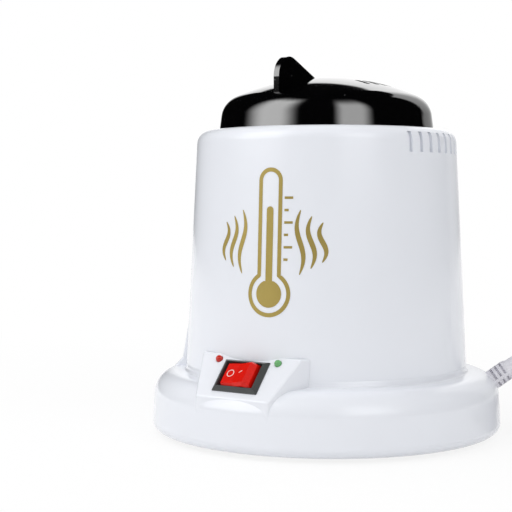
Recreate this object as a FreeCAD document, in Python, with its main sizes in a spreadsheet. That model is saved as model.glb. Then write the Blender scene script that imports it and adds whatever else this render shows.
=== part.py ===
import FreeCAD, Part
import math
import os

import Sketcher
from FreeCAD import Placement, Rotation, Vector

# A bench-top hot-bead sterilizer: a white round housing on a wide foot with a sloping switch
# console, a black lift-off lid, and a heated steel pot that hangs inside. Millimetres and
# degrees. The origin is the middle of the circle that the rubber feet stand on, +Z is up and
# the console looks along -Y.

SIZES = {
    # Fits between pieces
    "fit": 0.15,
    "running_fit": 0.08,
    "loose_fit": 0.4,
    # Foot moulding
    "foot_proud": 1.5,
    "base_radius": 77.6,
    "base_side_draft": 1.3,
    "base_shoulder_height": 24.9,
    "base_edge_round": 4.0,
    "base_shoulder_round": 10.0,
    "base_wall": 2.4,
    "base_lip_width": 6.8,
    "base_lip_height": 3.6,
    "deck_height": 26.5,
    "deck_seat_overlap": 1.5,
    "deck_land": 5.5,
    # Console
    "console_setback": 2.6,
    "console_front_half_width": 17.6,
    "console_front_height": 22.0,
    "console_run": 14.6,
    "console_ridge_height": 37.8,
    "console_behind": 10.4,
    "console_flare": 24.0,
    "console_round": 1.2,
    # Side buttress
    "buttress_angle": -78.0,
    "buttress_width": 26.0,
    "buttress_stand": 2.5,
    "buttress_skirt": 5.0,
    "buttress_shoulder": 3.0,
    "buttress_rise": 18.5,
    "buttress_round": 1.0,
    # Drum moulding
    "base_ledge": 15.1,
    "drum_taper": 5.3,
    "drum_height": 105.6,
    "drum_wall": 2.2,
    "drum_foot_round": 2.6,
    "drum_shoulder_round": 5.8,
    "drum_foot_flange": 6.5,
    "collar_height": 3.8,
    "collar_wall": 1.6,
    "side_slot_count": 9,
    "side_slot_pitch": 6.1,
    "side_slot_middle": 1.5,
    "side_slot_top": 2.4,
    "side_slot_width": 2.0,
    "side_slot_length": 8.4,
    "side_slot_drop": 10.0,
    "window_half_width": 18.5,
    "window_height": 9.5,
    # Lid
    "lid_inset": 9.6,
    "lid_side_draft": 1.6,
    "lid_height": 23.4,
    "lid_crown_radius": 102.0,
    "lid_shoulder_round": 10.5,
    "lid_wall": 2.2,
    "lid_slot_count": 5,
    "lid_slot_pitch": 11.3,
    "lid_slot_width": 2.2,
    "lid_slot_inner": 22.0,
    "lid_slot_outer": 29.5,
    "fin_front": 41.4,
    "fin_back": 12.0,
    "fin_peak": 34.4,
    "fin_thickness": 2.6,
    "fin_round": 9.0,
    # Pot, its ring and its heater
    "ring_inset": 1.8,
    "ring_thickness": 2.6,
    "ring_neck_depth": 7.6,
    "ring_edge_to_screw": 4.0,
    "pot_inset": 11.4,
    "pot_bore_gap": 2.4,
    "pot_wall": 1.0,
    "pot_rim_width": 7.4,
    "pot_depth": 75.0,
    "pot_floor_round": 3.0,
    "band_height": 40.0,
    "band_thickness": 3.4,
    "band_drop": 20.0,
    "band_gap": 6.0,
    "band_ear_reach": 9.0,
    "band_ear_height": 12.0,
    "tab_near": 3.0,
    "tab_width": 5.0,
    "tab_thickness": 1.2,
    "tab_length": 12.0,
    "wrap_thickness": 5.0,
    "wrap_opening": 20.0,
    "shield_wall": 0.6,
    "shield_length": 70.0,
    "thermostat_radius": 8.0,
    "thermostat_cap": 5.0,
    "thermostat_height": 14.0,
    "bracket_width": 19.0,
    "bracket_wall": 0.8,
    "fuse_radius": 1.9,
    "fuse_length": 11.0,
    # Switch and lamps, in the plane of the sloping panel
    "bezel_length": 21.5,
    "bezel_width": 15.5,
    "bezel_thickness": 1.9,
    "bezel_rim": 2.1,
    "bezel_side_rim": 1.75,
    "bezel_slope": 1.45,
    "switch_case_length": 19.4,
    "switch_case_width": 13.6,
    "switch_case_depth": 11.5,
    "switch_well_depth": 8.0,
    "rocker_pivot_depth": 3.2,
    "rocker_throw": 11.5,
    "rocker_top_half": 5.9,
    "rocker_top_rise": 6.4,
    "rocker_dip": 0.7,
    "rocker_bevel": 1.1,
    "rocker_sweep_radius": 8.3,
    "rocker_pin_radius": 1.0,
    "terminal_spread": 4.5,
    "terminal_length": 9.0,
    "lamp_across": 14.4,
    "lamp_up": 7.9,
    "lamp_radius": 1.5,
    "lamp_flange_radius": 1.9,
    "lamp_board_depth": 8.0,
    "lamp_board_width": 4.0,
    "lamp_board_wall": 1.2,
    "lamp_board_end": 3.0,
    # Bottom cover, feet and screws
    "cover_thickness": 2.0,
    "cover_screw_inset": 8.8,
    "cover_boss_radius": 4.0,
    "foot_radius": 7.0,
    "foot_pad_height": 2.4,
    "foot_inset": 14.8,
    "drum_screw_inset": 11.0,
    "drum_boss_radius": 3.4,
    "drum_boss_height": 16.0,
    "screw_radius": 1.5,
    "screw_head_radius": 2.9,
    "screw_head_height": 1.8,
    "screw_length": 10.0,
    "drum_screw_length": 12.0,
    "nut_height": 2.4,
    "block_length": 31.0,
    "block_width": 17.0,
    "block_foot_height": 6.0,
    "block_place_y": 18.0,
    "block_pitch": 9.5,
    "block_tower_length": 8.0,
    "block_tower_width": 12.0,
    # Mains cord
    "cord_radius": 3.0,
    "exit_angle": 120.0,
    "exit_slope": 35.5,
    "relief_radius": 4.5,
    "relief_neck_radius": 3.9,
    "relief_tip_radius": 3.4,
    "relief_ribbed": 9.0,
    "relief_length": 27.0,
    "coil_radius": 33.0,
    "coil_width": 18.0,
    "coil_height": 11.2,
    "coil_round": 2.5,
    "plug_length": 36.0,
    "plug_width": 35.0,
    "plug_thickness": 13.7,
    "plug_round": 3.0,
    "plug_sleeve": 20.0,
    "plug_pin_radius": 2.0,
    "plug_pin_length": 19.0,
    "plug_pin_spacing": 18.6,
}

doc = FreeCAD.newDocument("sterilizer")
sheet = doc.addObject("Spreadsheet::Sheet", "sizes")


class Size:
    """A length or an angle, kept together with the sheet formula that gives it."""

    def __init__(self, value, formula):
        self.value = float(value)
        self.formula = formula

    def __add__(self, other):
        other = sized(other)
        return Size(self.value + other.value, f"({self.formula} + {other.formula})")

    def __sub__(self, other):
        other = sized(other)
        return Size(self.value - other.value, f"({self.formula} - {other.formula})")

    def __mul__(self, other):
        other = sized(other)
        return Size(self.value * other.value, f"({self.formula} * {other.formula})")

    def __truediv__(self, other):
        other = sized(other)
        return Size(self.value / other.value, f"({self.formula} / {other.formula})")

    def __neg__(self):
        return Size(-self.value, f"(0 - {self.formula})")

    __radd__ = __add__

    def __rsub__(self, other):
        return sized(other) - self

    __rmul__ = __mul__


def sized(number):
    """A plain number as a Size."""
    if isinstance(number, Size):
        return number
    return Size(number, f"({float(number)})")


def sine(angle):
    return Size(math.sin(math.radians(angle.value)), f"sin({angle.formula})")


def cosine(angle):
    return Size(math.cos(math.radians(angle.value)), f"cos({angle.formula})")


def tangent(angle):
    return Size(math.tan(math.radians(angle.value)), f"tan({angle.formula})")


def arctangent(ratio):
    return Size(math.degrees(math.atan(ratio.value)), f"(atan({ratio.formula}) / 1 deg)")


def root(square):
    return Size(math.sqrt(square.value), f"sqrt({square.formula})")


class Cells:
    """The sheet's sizes, each as an attribute."""


size = Cells()
for row, (alias, number) in enumerate(SIZES.items(), 1):
    sheet.set(f"A{row}", alias)
    sheet.set(f"B{row}", str(number))
    sheet.setAlias(f"B{row}", alias)
    setattr(size, alias, Size(number, f"sizes.{alias}"))
doc.recompute()

# Radii that follow from the foot ring's, working inwards
size.base_shoulder_radius = size.base_radius - size.base_side_draft
size.base_lip_radius = size.base_radius - size.base_lip_width
size.console_front = size.base_radius - size.console_setback
size.console_ridge = size.console_front - size.console_run
size.console_back = size.console_ridge - size.console_behind
size.drum_foot_radius = size.base_radius - size.base_ledge
size.drum_top_radius = size.drum_foot_radius - size.drum_taper
size.drum_screw_circle = size.drum_foot_radius - size.drum_screw_inset
size.deck_seat_radius = size.drum_foot_radius - size.deck_seat_overlap
size.deck_opening_radius = size.drum_screw_circle - size.deck_land
size.buttress_reach = size.drum_foot_radius + size.buttress_stand
size.cover_screw_circle = size.base_lip_radius - size.cover_screw_inset
size.foot_circle = size.base_lip_radius - size.foot_inset
size.lid_radius = size.drum_top_radius - size.lid_inset
size.lid_shoulder_radius = size.lid_radius - size.lid_side_draft
size.collar_radius = size.lid_radius - size.lid_wall - 1
size.ring_radius = size.collar_radius - size.collar_wall - size.ring_inset
size.ring_screw_circle = size.ring_radius - size.ring_edge_to_screw
size.deck_hole_radius = size.ring_screw_circle - size.ring_edge_to_screw
size.pot_inner_radius = size.deck_hole_radius - size.pot_inset
size.pot_rim_radius = size.pot_inner_radius + size.pot_rim_width
size.ring_bore_radius = size.pot_inner_radius + size.pot_bore_gap
size.nut_radius = size.screw_radius * 2
size.shield_radius = size.ring_screw_circle + size.nut_radius + size.loose_fit

# Heights and radii that several pieces share
rim_z = size.foot_proud
seat_z = rim_z + size.deck_height
panel_rise = size.console_ridge_height - size.console_front_height
panel_run = size.console_front - size.console_ridge
panel_tilt = arctangent(panel_rise / panel_run)
panel_front_z = rim_z + size.console_front_height
panel_ridge_z = rim_z + size.console_ridge_height
panel_middle_y = -(size.console_front + size.console_ridge) / 2
panel_middle_z = (panel_front_z + panel_ridge_z) / 2
deck_z = seat_z + size.drum_height
collar_z = deck_z + size.collar_height
lid_top_z = deck_z + size.lid_height
ring_top_z = deck_z + size.ring_thickness
pot_radius = size.pot_inner_radius + size.pot_wall
pot_rim_z = ring_top_z + size.pot_wall
pot_floor_z = pot_rim_z - size.pot_depth
pot_under_z = pot_floor_z - size.pot_wall
band_inner = pot_radius + size.fit
band_outer = band_inner + size.band_thickness
band_top_z = deck_z - size.band_drop
band_foot_z = band_top_z - size.band_height
cover_top_z = rim_z + size.base_lip_height
cover_foot_z = cover_top_z - size.cover_thickness
drum_slope = (size.drum_foot_radius - size.drum_top_radius) / size.drum_height


def drum_radius_at(z):
    """Outer radius of the tapered drum at a height."""
    return size.drum_foot_radius - (z - seat_z) * drum_slope


def bind(feature, prop, length):
    feature.setExpression(prop, sized(length).formula)


def place(feature, x=0, y=0, z=0, axis=None, angle=0):
    """Puts a feature at a place, turned about an axis, with each number bound to its size."""
    spin = Rotation(axis or Vector(0, 0, 1), sized(angle).value)
    feature.Placement = Placement(Vector(sized(x).value, sized(y).value, sized(z).value), spin)
    bind(feature, "Placement.Base.x", x)
    bind(feature, "Placement.Base.y", y)
    bind(feature, "Placement.Base.z", z)
    if axis is not None:
        bind(feature, "Placement.Rotation.Angle", angle)
    return feature


def sketch_on(body, name, role, x=0, y=0, z=0, axis=None, angle=0):
    """A sketch on one of the body's own planes, moved and turned in that plane's frame."""
    sketch = body.newObject("Sketcher::SketchObject", name)
    plane = [item for item in body.Origin.OriginFeatures if item.Role == role][0]
    sketch.AttachmentSupport = [(plane, "")]
    sketch.MapMode = "FlatFace"
    spin = Rotation(axis or Vector(0, 0, 1), sized(angle).value)
    sketch.AttachmentOffset = Placement(Vector(sized(x).value, sized(y).value, sized(z).value), spin)
    bind(sketch, "AttachmentOffset.Base.x", x)
    bind(sketch, "AttachmentOffset.Base.y", y)
    bind(sketch, "AttachmentOffset.Base.z", z)
    if sized(angle).value:
        bind(sketch, "AttachmentOffset.Rotation.Angle", angle)
    return sketch


def draw(sketch, corners, crowns=(), rounds=None):
    """Draws a closed outline through corners, each bound to its sizes.

    crowns lists the edges, by the number of their first corner, that are arcs centred on the
    vertical axis. rounds gives the corners between straight edges that get a tangent arc, each
    with its radius.
    """
    count = len(corners)
    rounds = rounds or {}
    points = [Vector(sized(x).value, sized(y).value, 0) for x, y in corners]
    arcs = {}
    for number, radius in rounds.items():
        before, corner, after = points[number - 1], points[number], points[(number + 1) % count]
        arcs[number] = corner_arc(before, corner, after, sized(radius).value)
    edges = []
    ends = []
    for number in range(count):
        following = (number + 1) % count
        start = arcs[number][1] if number in arcs else points[number]
        finish = arcs[following][0] if following in arcs else points[following]
        if number in crowns:
            edge, forward = arc_between(crown_centre(start, finish), start, finish)
            edges.append(edge)
            ends.append((1, 2) if forward else (2, 1))
        else:
            edges.append(Part.LineSegment(start, finish))
            ends.append((1, 2))
    constraints = []
    formulas = []
    for number in crowns:
        constraints.append(Sketcher.Constraint("PointOnObject", number, 3, -2))
    for number, (x, y) in enumerate(corners):
        before = (number - 1) % count
        leaving, arriving = (number, ends[number][0]), (before, ends[before][1])
        held = leaving
        if number in arcs:
            arc = len(edges)
            edges.append(arcs[number][2])
            edges.append(Part.Point(points[number]))
            first, second = (1, 2) if arcs[number][3] else (2, 1)
            held = (arc + 1, 1)
            constraints.append(Sketcher.Constraint("Tangent", *arriving, arc, first))
            constraints.append(Sketcher.Constraint("Tangent", *leaving, arc, second))
            constraints.append(Sketcher.Constraint("PointOnObject", *held, before))
            constraints.append(Sketcher.Constraint("PointOnObject", *held, number))
            formulas.append((len(constraints), sized(rounds[number]).formula))
            constraints.append(Sketcher.Constraint("Radius", arc, sized(rounds[number]).value))
        else:
            constraints.append(Sketcher.Constraint("Coincident", *arriving, *leaving))
        for kind, value in (("DistanceX", x), ("DistanceY", y)):
            formulas.append((len(constraints), sized(value).formula))
            constraints.append(Sketcher.Constraint(kind, *held, sized(value).value))
    for edge in edges:
        sketch.addGeometry(edge, isinstance(edge, Part.Point))
    sketch.addConstraint(constraints)
    for number, formula in formulas:
        sketch.setExpression(f"Constraints[{number}]", formula)
    return sketch


def arc_between(centre, start, finish):
    """The shorter arc between two points, and whether it runs anticlockwise from the first."""
    first = math.atan2(start.y - centre.y, start.x - centre.x)
    sweep = math.atan2(finish.y - centre.y, finish.x - centre.x) - first
    sweep = math.atan2(math.sin(sweep), math.cos(sweep))
    circle = Part.Circle(centre, Vector(0, 0, 1), (start - centre).Length)
    low, high = min(first, first + sweep), max(first, first + sweep)
    return Part.ArcOfCircle(circle, low, high), sweep > 0


def corner_arc(before, corner, after, radius):
    """Where a round meets the edges before and after a corner, its arc, and its direction."""
    back = (before - corner).normalize()
    onward = (after - corner).normalize()
    half = back.getAngle(onward) / 2
    start = corner + back * (radius / math.tan(half))
    finish = corner + onward * (radius / math.tan(half))
    centre = corner + (back + onward).normalize() * (radius / math.sin(half))
    arc, forward = arc_between(centre, start, finish)
    return start, finish, arc, forward


def crown_centre(start, finish):
    """The point on the vertical axis that lies equally far from both ends of an arc."""
    height = (start.x**2 + start.y**2 - finish.x**2 - finish.y**2) / (2 * (start.y - finish.y))
    return Vector(0, height, 0)


def draw_circle(sketch, x, y, radius):
    """Draws one circle, its centre and radius bound to their sizes."""
    x, y, radius = sized(x), sized(y), sized(radius)
    number = sketch.addGeometry(Part.Circle(Vector(x.value, y.value, 0), Vector(0, 0, 1), radius.value))
    for kind, value in (("DistanceX", x), ("DistanceY", y)):
        index = sketch.addConstraint(Sketcher.Constraint(kind, number, 3, value.value))
        sketch.setExpression(f"Constraints[{index}]", value.formula)
    index = sketch.addConstraint(Sketcher.Constraint("Radius", number, radius.value))
    sketch.setExpression(f"Constraints[{index}]", radius.formula)
    return sketch


def new_body(label):
    body = doc.addObject("PartDesign::Body", label)
    body.Label = label
    return body


def revolve(body, sketch, kind="PartDesign::Revolution"):
    """Turns a sketch a full circle about the body's vertical axis, adding or cutting."""
    feature = body.newObject(kind, sketch.Name + "_turn")
    feature.Profile = sketch
    feature.ReferenceAxis = (sketch, ["V_Axis"])
    feature.Angle = 360
    doc.recompute()
    return feature


def pad(body, sketch, length, symmetric=False):
    feature = body.newObject("PartDesign::Pad", sketch.Name + "_pad")
    feature.Profile = sketch
    feature.SideType = "Symmetric" if symmetric else "One side"
    feature.Length = sized(length).value
    bind(feature, "Length", length)
    doc.recompute()
    return feature


def pocket(body, sketch, length, symmetric=False):
    before = body.Shape.Volume
    feature = body.newObject("PartDesign::Pocket", sketch.Name + "_cut")
    feature.Profile = sketch
    feature.SideType = "Symmetric" if symmetric else "One side"
    feature.Length = sized(length).value
    bind(feature, "Length", length)
    doc.recompute()
    if feature.Shape.Volume >= before:
        raise RuntimeError(f"{sketch.Name} cuts nothing")
    return feature


def polar(body, feature, count, angle, name):
    """Repeats a feature about the vertical axis, over the whole angle that the copies span."""
    pattern = body.newObject("PartDesign::PolarPattern", name)
    pattern.Originals = [feature]
    axis = [item for item in body.Origin.OriginFeatures if item.Role == "Z_Axis"][0]
    pattern.Axis = (axis, [""])
    pattern.Angle = sized(angle).value
    pattern.Occurrences = int(sized(count).value)
    bind(pattern, "Angle", angle)
    bind(pattern, "Occurrences", count)
    body.Tip = pattern
    doc.recompute()
    return pattern


def round_edges(body, name, radius, wanted, kind="PartDesign::Fillet", prop="Radius"):
    """Rounds the edges of the body's tip that a test picks out, or bevels them."""
    base = body.Tip
    picked = [f"Edge{number}" for number, edge in enumerate(base.Shape.Edges, 1) if wanted(edge)]
    if not picked:
        raise RuntimeError(f"{name} finds no edge")
    feature = body.newObject(kind, name)
    feature.Base = (base, picked)
    setattr(feature, prop, sized(radius).value)
    bind(feature, prop, radius)
    doc.recompute()
    return feature


def bevel_edges(body, name, width, wanted):
    """Cuts the picked edges off flat, one width along both faces."""
    return round_edges(body, name, width, wanted, "PartDesign::Chamfer", "Size")


def ring_at(radius, z):
    """A test for the circular edges of one radius at one height."""
    radius, z = sized(radius).value, sized(z).value

    def wanted(edge):
        if edge.Degenerated or not isinstance(edge.Curve, Part.Circle):
            return False
        curve = edge.Curve
        return abs(curve.Radius - radius) < 0.01 and abs(curve.Center.z - z) < 0.01

    return wanted


def near(*points):
    """A test for the edges whose middle lies at one of some points."""
    places = [Vector(*(sized(number).value for number in point)) for point in points]

    def wanted(edge):
        if edge.Degenerated:
            return False
        middle = edge.valueAt((edge.FirstParameter + edge.LastParameter) / 2)
        return any((middle - spot).Length < 0.05 for spot in places)

    return wanted


def box(name, corner, extent):
    """A block from its lowest corner and its three lengths."""
    block = doc.addObject("Part::Box", name)
    for prop, length in zip(("Length", "Width", "Height"), extent):
        bind(block, prop, length)
    return place(block, *corner)


def cylinder(name, radius, height, x=0, y=0, z=0, axis=None, angle=0):
    post = doc.addObject("Part::Cylinder", name)
    bind(post, "Radius", radius)
    bind(post, "Height", height)
    return place(post, x, y, z, axis, angle)


def cone(name, foot_radius, top_radius, height, x=0, y=0, z=0):
    frustum = doc.addObject("Part::Cone", name)
    bind(frustum, "Radius1", foot_radius)
    bind(frustum, "Radius2", top_radius)
    bind(frustum, "Height", height)
    return place(frustum, x, y, z)


def fuse(name, shapes):
    union = doc.addObject("Part::MultiFuse", name)
    union.Shapes = shapes
    union.Refine = True
    return union


def cut(name, base, tool):
    """One shape less another, checked to have taken something away."""
    result = doc.addObject("Part::Cut", name)
    result.Base = base
    result.Tool = tool
    result.Refine = True
    doc.recompute()
    if result.Shape.Volume >= base.Shape.Volume:
        raise RuntimeError(f"{name} cuts nothing")
    return result


def group(name, pieces):
    """Identical or joined loose solids as one sub-part."""
    compound = doc.addObject("Part::Compound", name)
    compound.Links = pieces
    return compound


SUB_PARTS = []


def sub_part(feature, label):
    """Names a finished sub-part and lists it for writing."""
    feature.Label = label
    SUB_PARTS.append(feature)
    return feature


def screw(name, x, y, z, length, upward):
    """A pan-head screw whose head rests at z, its shank pointing up or down."""
    shank_z = z if upward else z - length
    head_z = z - size.screw_head_height if upward else z
    shank = cylinder(name + "_shank", size.screw_radius, length, x, y, shank_z)
    head = cylinder(name + "_head", size.screw_head_radius, size.screw_head_height, x, y, head_z)
    return fuse(name, [shank, head])


def around(radius, degrees):
    """X and Y of a point on a circle, at an angle from +X."""
    angle = sized(degrees)
    return radius * cosine(angle), radius * sine(angle)


QUARTERS = (45, 135, 225, 315)


# Console: a wedge with a sloping panel, flared towards the drum
def console_half_width(along):
    return size.console_front_half_width + (size.console_front - along) * tangent(size.console_flare)


def console_wedge(name, front, side_inset, back, low, top, drop):
    """A flared block whose front is cut off along the panel's plane, lowered by a drop."""
    body = new_body(name)
    front_half = console_half_width(front) - side_inset
    back_half = console_half_width(back) - side_inset
    plan = sketch_on(body, f"{name}_plan", "XY_Plane", z=low)
    draw(plan, [(-front_half, -front), (front_half, -front), (back_half, -back), (-back_half, -back)])
    pad(body, plan, top - low)
    slope = tangent(panel_tilt)
    ahead = front + 5
    behind = size.console_ridge - 5
    slant_foot = panel_front_z - drop - (ahead - size.console_front) * slope
    slant_top = panel_ridge_z - drop + (size.console_ridge - behind) * slope
    side = sketch_on(body, f"{name}_slope", "YZ_Plane")
    draw(side, [(-ahead, slant_foot), (-behind, slant_top), (-ahead, slant_top)])
    pocket(body, side, back_half * 2 + 2, symmetric=True)
    return body


def make_console_form():
    low = rim_z + 8
    body = console_wedge(
        "console_form", size.console_front, sized(0), size.console_back, low, panel_ridge_z, sized(0),
    )
    front_half = size.console_front_half_width
    ridge_half = console_half_width(size.console_ridge)
    back_half = console_half_width(size.console_back)
    side_x = (front_half + ridge_half) / 2
    back_x = (ridge_half + back_half) / 2
    back_y = -(size.console_ridge + size.console_back) / 2
    front_z = (low + panel_front_z) / 2
    spots = [(0, -size.console_front, panel_front_z), (0, -size.console_ridge, panel_ridge_z)]
    for side in (-1, 1):
        spots.append((side_x * side, panel_middle_y, panel_middle_z))
        spots.append((back_x * side, back_y, panel_ridge_z))
        spots.append((front_half * side, -size.console_front, front_z))
    round_edges(body, "console_edges", size.console_round, near(*spots))
    return body


def make_console_hollow():
    """The inside of the console, one wall in from its faces and open below and behind."""
    wall = size.base_wall
    return console_wedge(
        "console_hollow",
        size.console_front - wall,
        wall / cosine(size.console_flare),
        size.console_back - 1,
        cover_top_z + size.fit,
        panel_ridge_z - wall,
        wall / cosine(panel_tilt),
    )


def make_base_shell():
    """The foot moulding: rounded ring, console, buttress, bosses and openings."""
    ring = new_body("base_ring")
    shoulder_z = rim_z + size.base_shoulder_height
    wall = size.base_wall
    under_deck = seat_z - wall
    inner_radius = size.base_shoulder_radius - wall
    inner_shoulder_z = shoulder_z - wall
    inner_round = size.base_shoulder_round - wall
    lip_z = cover_top_z + 1
    profile = sketch_on(ring, "base_outline", "XZ_Plane")
    draw(profile, [
        (size.base_lip_radius, rim_z),
        (size.base_radius, rim_z),
        (size.base_shoulder_radius, shoulder_z),
        (size.deck_seat_radius, seat_z),
        (size.deck_opening_radius, seat_z),
        (size.deck_opening_radius, under_deck),
        (size.deck_seat_radius, under_deck),
        (inner_radius, inner_shoulder_z),
        (inner_radius, lip_z + inner_radius - size.base_lip_radius),
        (size.base_lip_radius, lip_z),
    ], rounds={1: size.base_edge_round, 2: size.base_shoulder_round, 7: inner_round})
    revolve(ring, profile)

    core_top = inner_shoulder_z - inner_round
    core = cylinder("base_core", inner_radius, core_top - cover_top_z, z=cover_top_z)
    seat_top = panel_ridge_z + size.buttress_rise
    drum_seat = cone(
        "drum_seat",
        size.drum_foot_radius + size.fit,
        drum_radius_at(seat_top) + size.fit,
        seat_top - seat_z,
        z=seat_z,
    )
    solid = fuse("base_solid", [ring, make_console_form(), make_buttress()])
    walls = cut("base_walls", solid, fuse("base_hollows", [make_console_hollow(), core, drum_seat]))

    bosses = []
    pilots = []
    boss_z = cover_top_z
    boss_height = seat_z - boss_z - 1
    for degrees in QUARTERS:
        x, y = around(size.cover_screw_circle, degrees)
        bosses.append(cylinder(f"cover_boss_{degrees}", size.cover_boss_radius, boss_height, x, y, boss_z))
        pilot_depth = size.screw_length + 2
        pilots.append(cylinder(f"cover_pilot_{degrees}", size.screw_radius, pilot_depth, x, y, boss_z - 1))
        x, y = around(size.drum_screw_circle, degrees)
        clear = size.screw_radius + size.fit
        pilots.append(cylinder(f"deck_hole_{degrees}", clear, 6, x, y, under_deck - 1))
    bossed = fuse("base_bossed", [walls] + bosses)
    holes = fuse("base_holes", pilots + [make_panel_holes(), make_exit_hole()])
    return sub_part(cut("base_shell", bossed, holes), "base_shell")


def make_buttress():
    """A shallow moulded rib that leans from the foot ring against the drum's side."""
    body = new_body("buttress")
    foot_z = seat_z - 2
    sketch = sketch_on(body, "buttress_outline", "YZ_Plane")
    inner = size.drum_top_radius
    top_z = seat_z + size.buttress_rise
    foot = (-size.buttress_reach - size.buttress_skirt, foot_z)
    shoulder = (-size.buttress_reach, seat_z + size.buttress_shoulder)
    peak = (-drum_radius_at(top_z) - 0.5, top_z)
    draw(sketch, [(-inner, foot_z), foot, shoulder, peak, (-inner, top_z)])
    pad(body, sketch, size.buttress_width, symmetric=True)
    half = size.buttress_width / 2
    spots = [(sized(0), peak[0], peak[1])]
    for side in (-1, 1):
        for start, end in ((foot, shoulder), (shoulder, peak)):
            spots.append((half * side, (start[0] + end[0]) / 2, (start[1] + end[1]) / 2))
    round_edges(body, "buttress_edges", size.buttress_round, near(*spots))
    return place(body, axis=Vector(0, 0, 1), angle=size.buttress_angle)


def on_panel(feature, across=0, up=0, out=0):
    """Places a feature whose +Z is the panel's normal, at a point of the sloping panel."""
    up, out = sized(up), sized(out)
    y = panel_middle_y + up * cosine(panel_tilt) - out * sine(panel_tilt)
    z = panel_middle_z + up * sine(panel_tilt) + out * cosine(panel_tilt)
    return place(feature, across, y, z, Vector(1, 0, 0), panel_tilt)


def make_panel_holes():
    """Cut-outs for the switch and the two lamps."""
    depth = size.base_wall * 3
    body = new_body("switch_hole")
    half_length = size.switch_case_length / 2 + size.fit
    half_width = size.switch_case_width / 2 + size.fit
    sketch = sketch_on(body, "switch_hole_outline", "XY_Plane", z=-depth / 2)
    draw(sketch, [
        (-half_length, -half_width),
        (half_length, -half_width),
        (half_length, half_width),
        (-half_length, half_width),
    ])
    pad(body, sketch, depth)
    tools = [on_panel(body)]
    for side, across in (("red", -size.lamp_across), ("green", size.lamp_across)):
        hole = cylinder(f"{side}_lamp_hole", size.lamp_radius + size.fit, depth)
        tools.append(on_panel(hole, across, size.lamp_up, -depth / 2))
    return fuse("panel_holes", tools)


# Cord exit: a line square to the foot ring's rounded shoulder, through the round's own centre
exit_sine = sine(size.exit_angle)
exit_cosine = cosine(size.exit_angle)
side_lean = arctangent((size.base_radius - size.base_shoulder_radius) / size.base_shoulder_height)
deck_rise = size.deck_height - size.base_shoulder_height
deck_lean = arctangent(deck_rise / (size.base_shoulder_radius - size.deck_seat_radius))
shoulder_reach = size.base_shoulder_round / cosine(side_lean + deck_lean)
round_centre_r = size.base_shoulder_radius + (sine(side_lean) - cosine(deck_lean)) * shoulder_reach
round_centre_z = rim_z + size.base_shoulder_height + (sine(deck_lean) - cosine(side_lean)) * shoulder_reach


def exit_point(distance):
    """X, Y and Z on the exit line, at a distance outwards from the foot ring's shoulder."""
    reach = size.base_shoulder_round + distance
    radius = round_centre_r + reach * cosine(size.exit_slope)
    return radius * exit_sine, -radius * exit_cosine, round_centre_z + reach * sine(size.exit_slope)


def along_exit(feature, distance):
    """Places a feature with its +Z along the exit line."""
    x, y, z = exit_point(distance)
    heading = Rotation(Vector(0, 0, 1), size.exit_angle.value - 90)
    lean = Rotation(Vector(0, 1, 0), 90 - size.exit_slope.value)
    feature.Placement = Placement(Vector(x.value, y.value, z.value), heading.multiply(lean))
    bind(feature, "Placement.Base.x", x)
    bind(feature, "Placement.Base.y", y)
    bind(feature, "Placement.Base.z", z)
    return feature


def make_exit_hole():
    tool = doc.addObject("Part::Cylinder", "exit_hole")
    bind(tool, "Radius", size.relief_neck_radius + size.fit)
    bind(tool, "Height", 24)
    return along_exit(tool, -sized(16))


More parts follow.
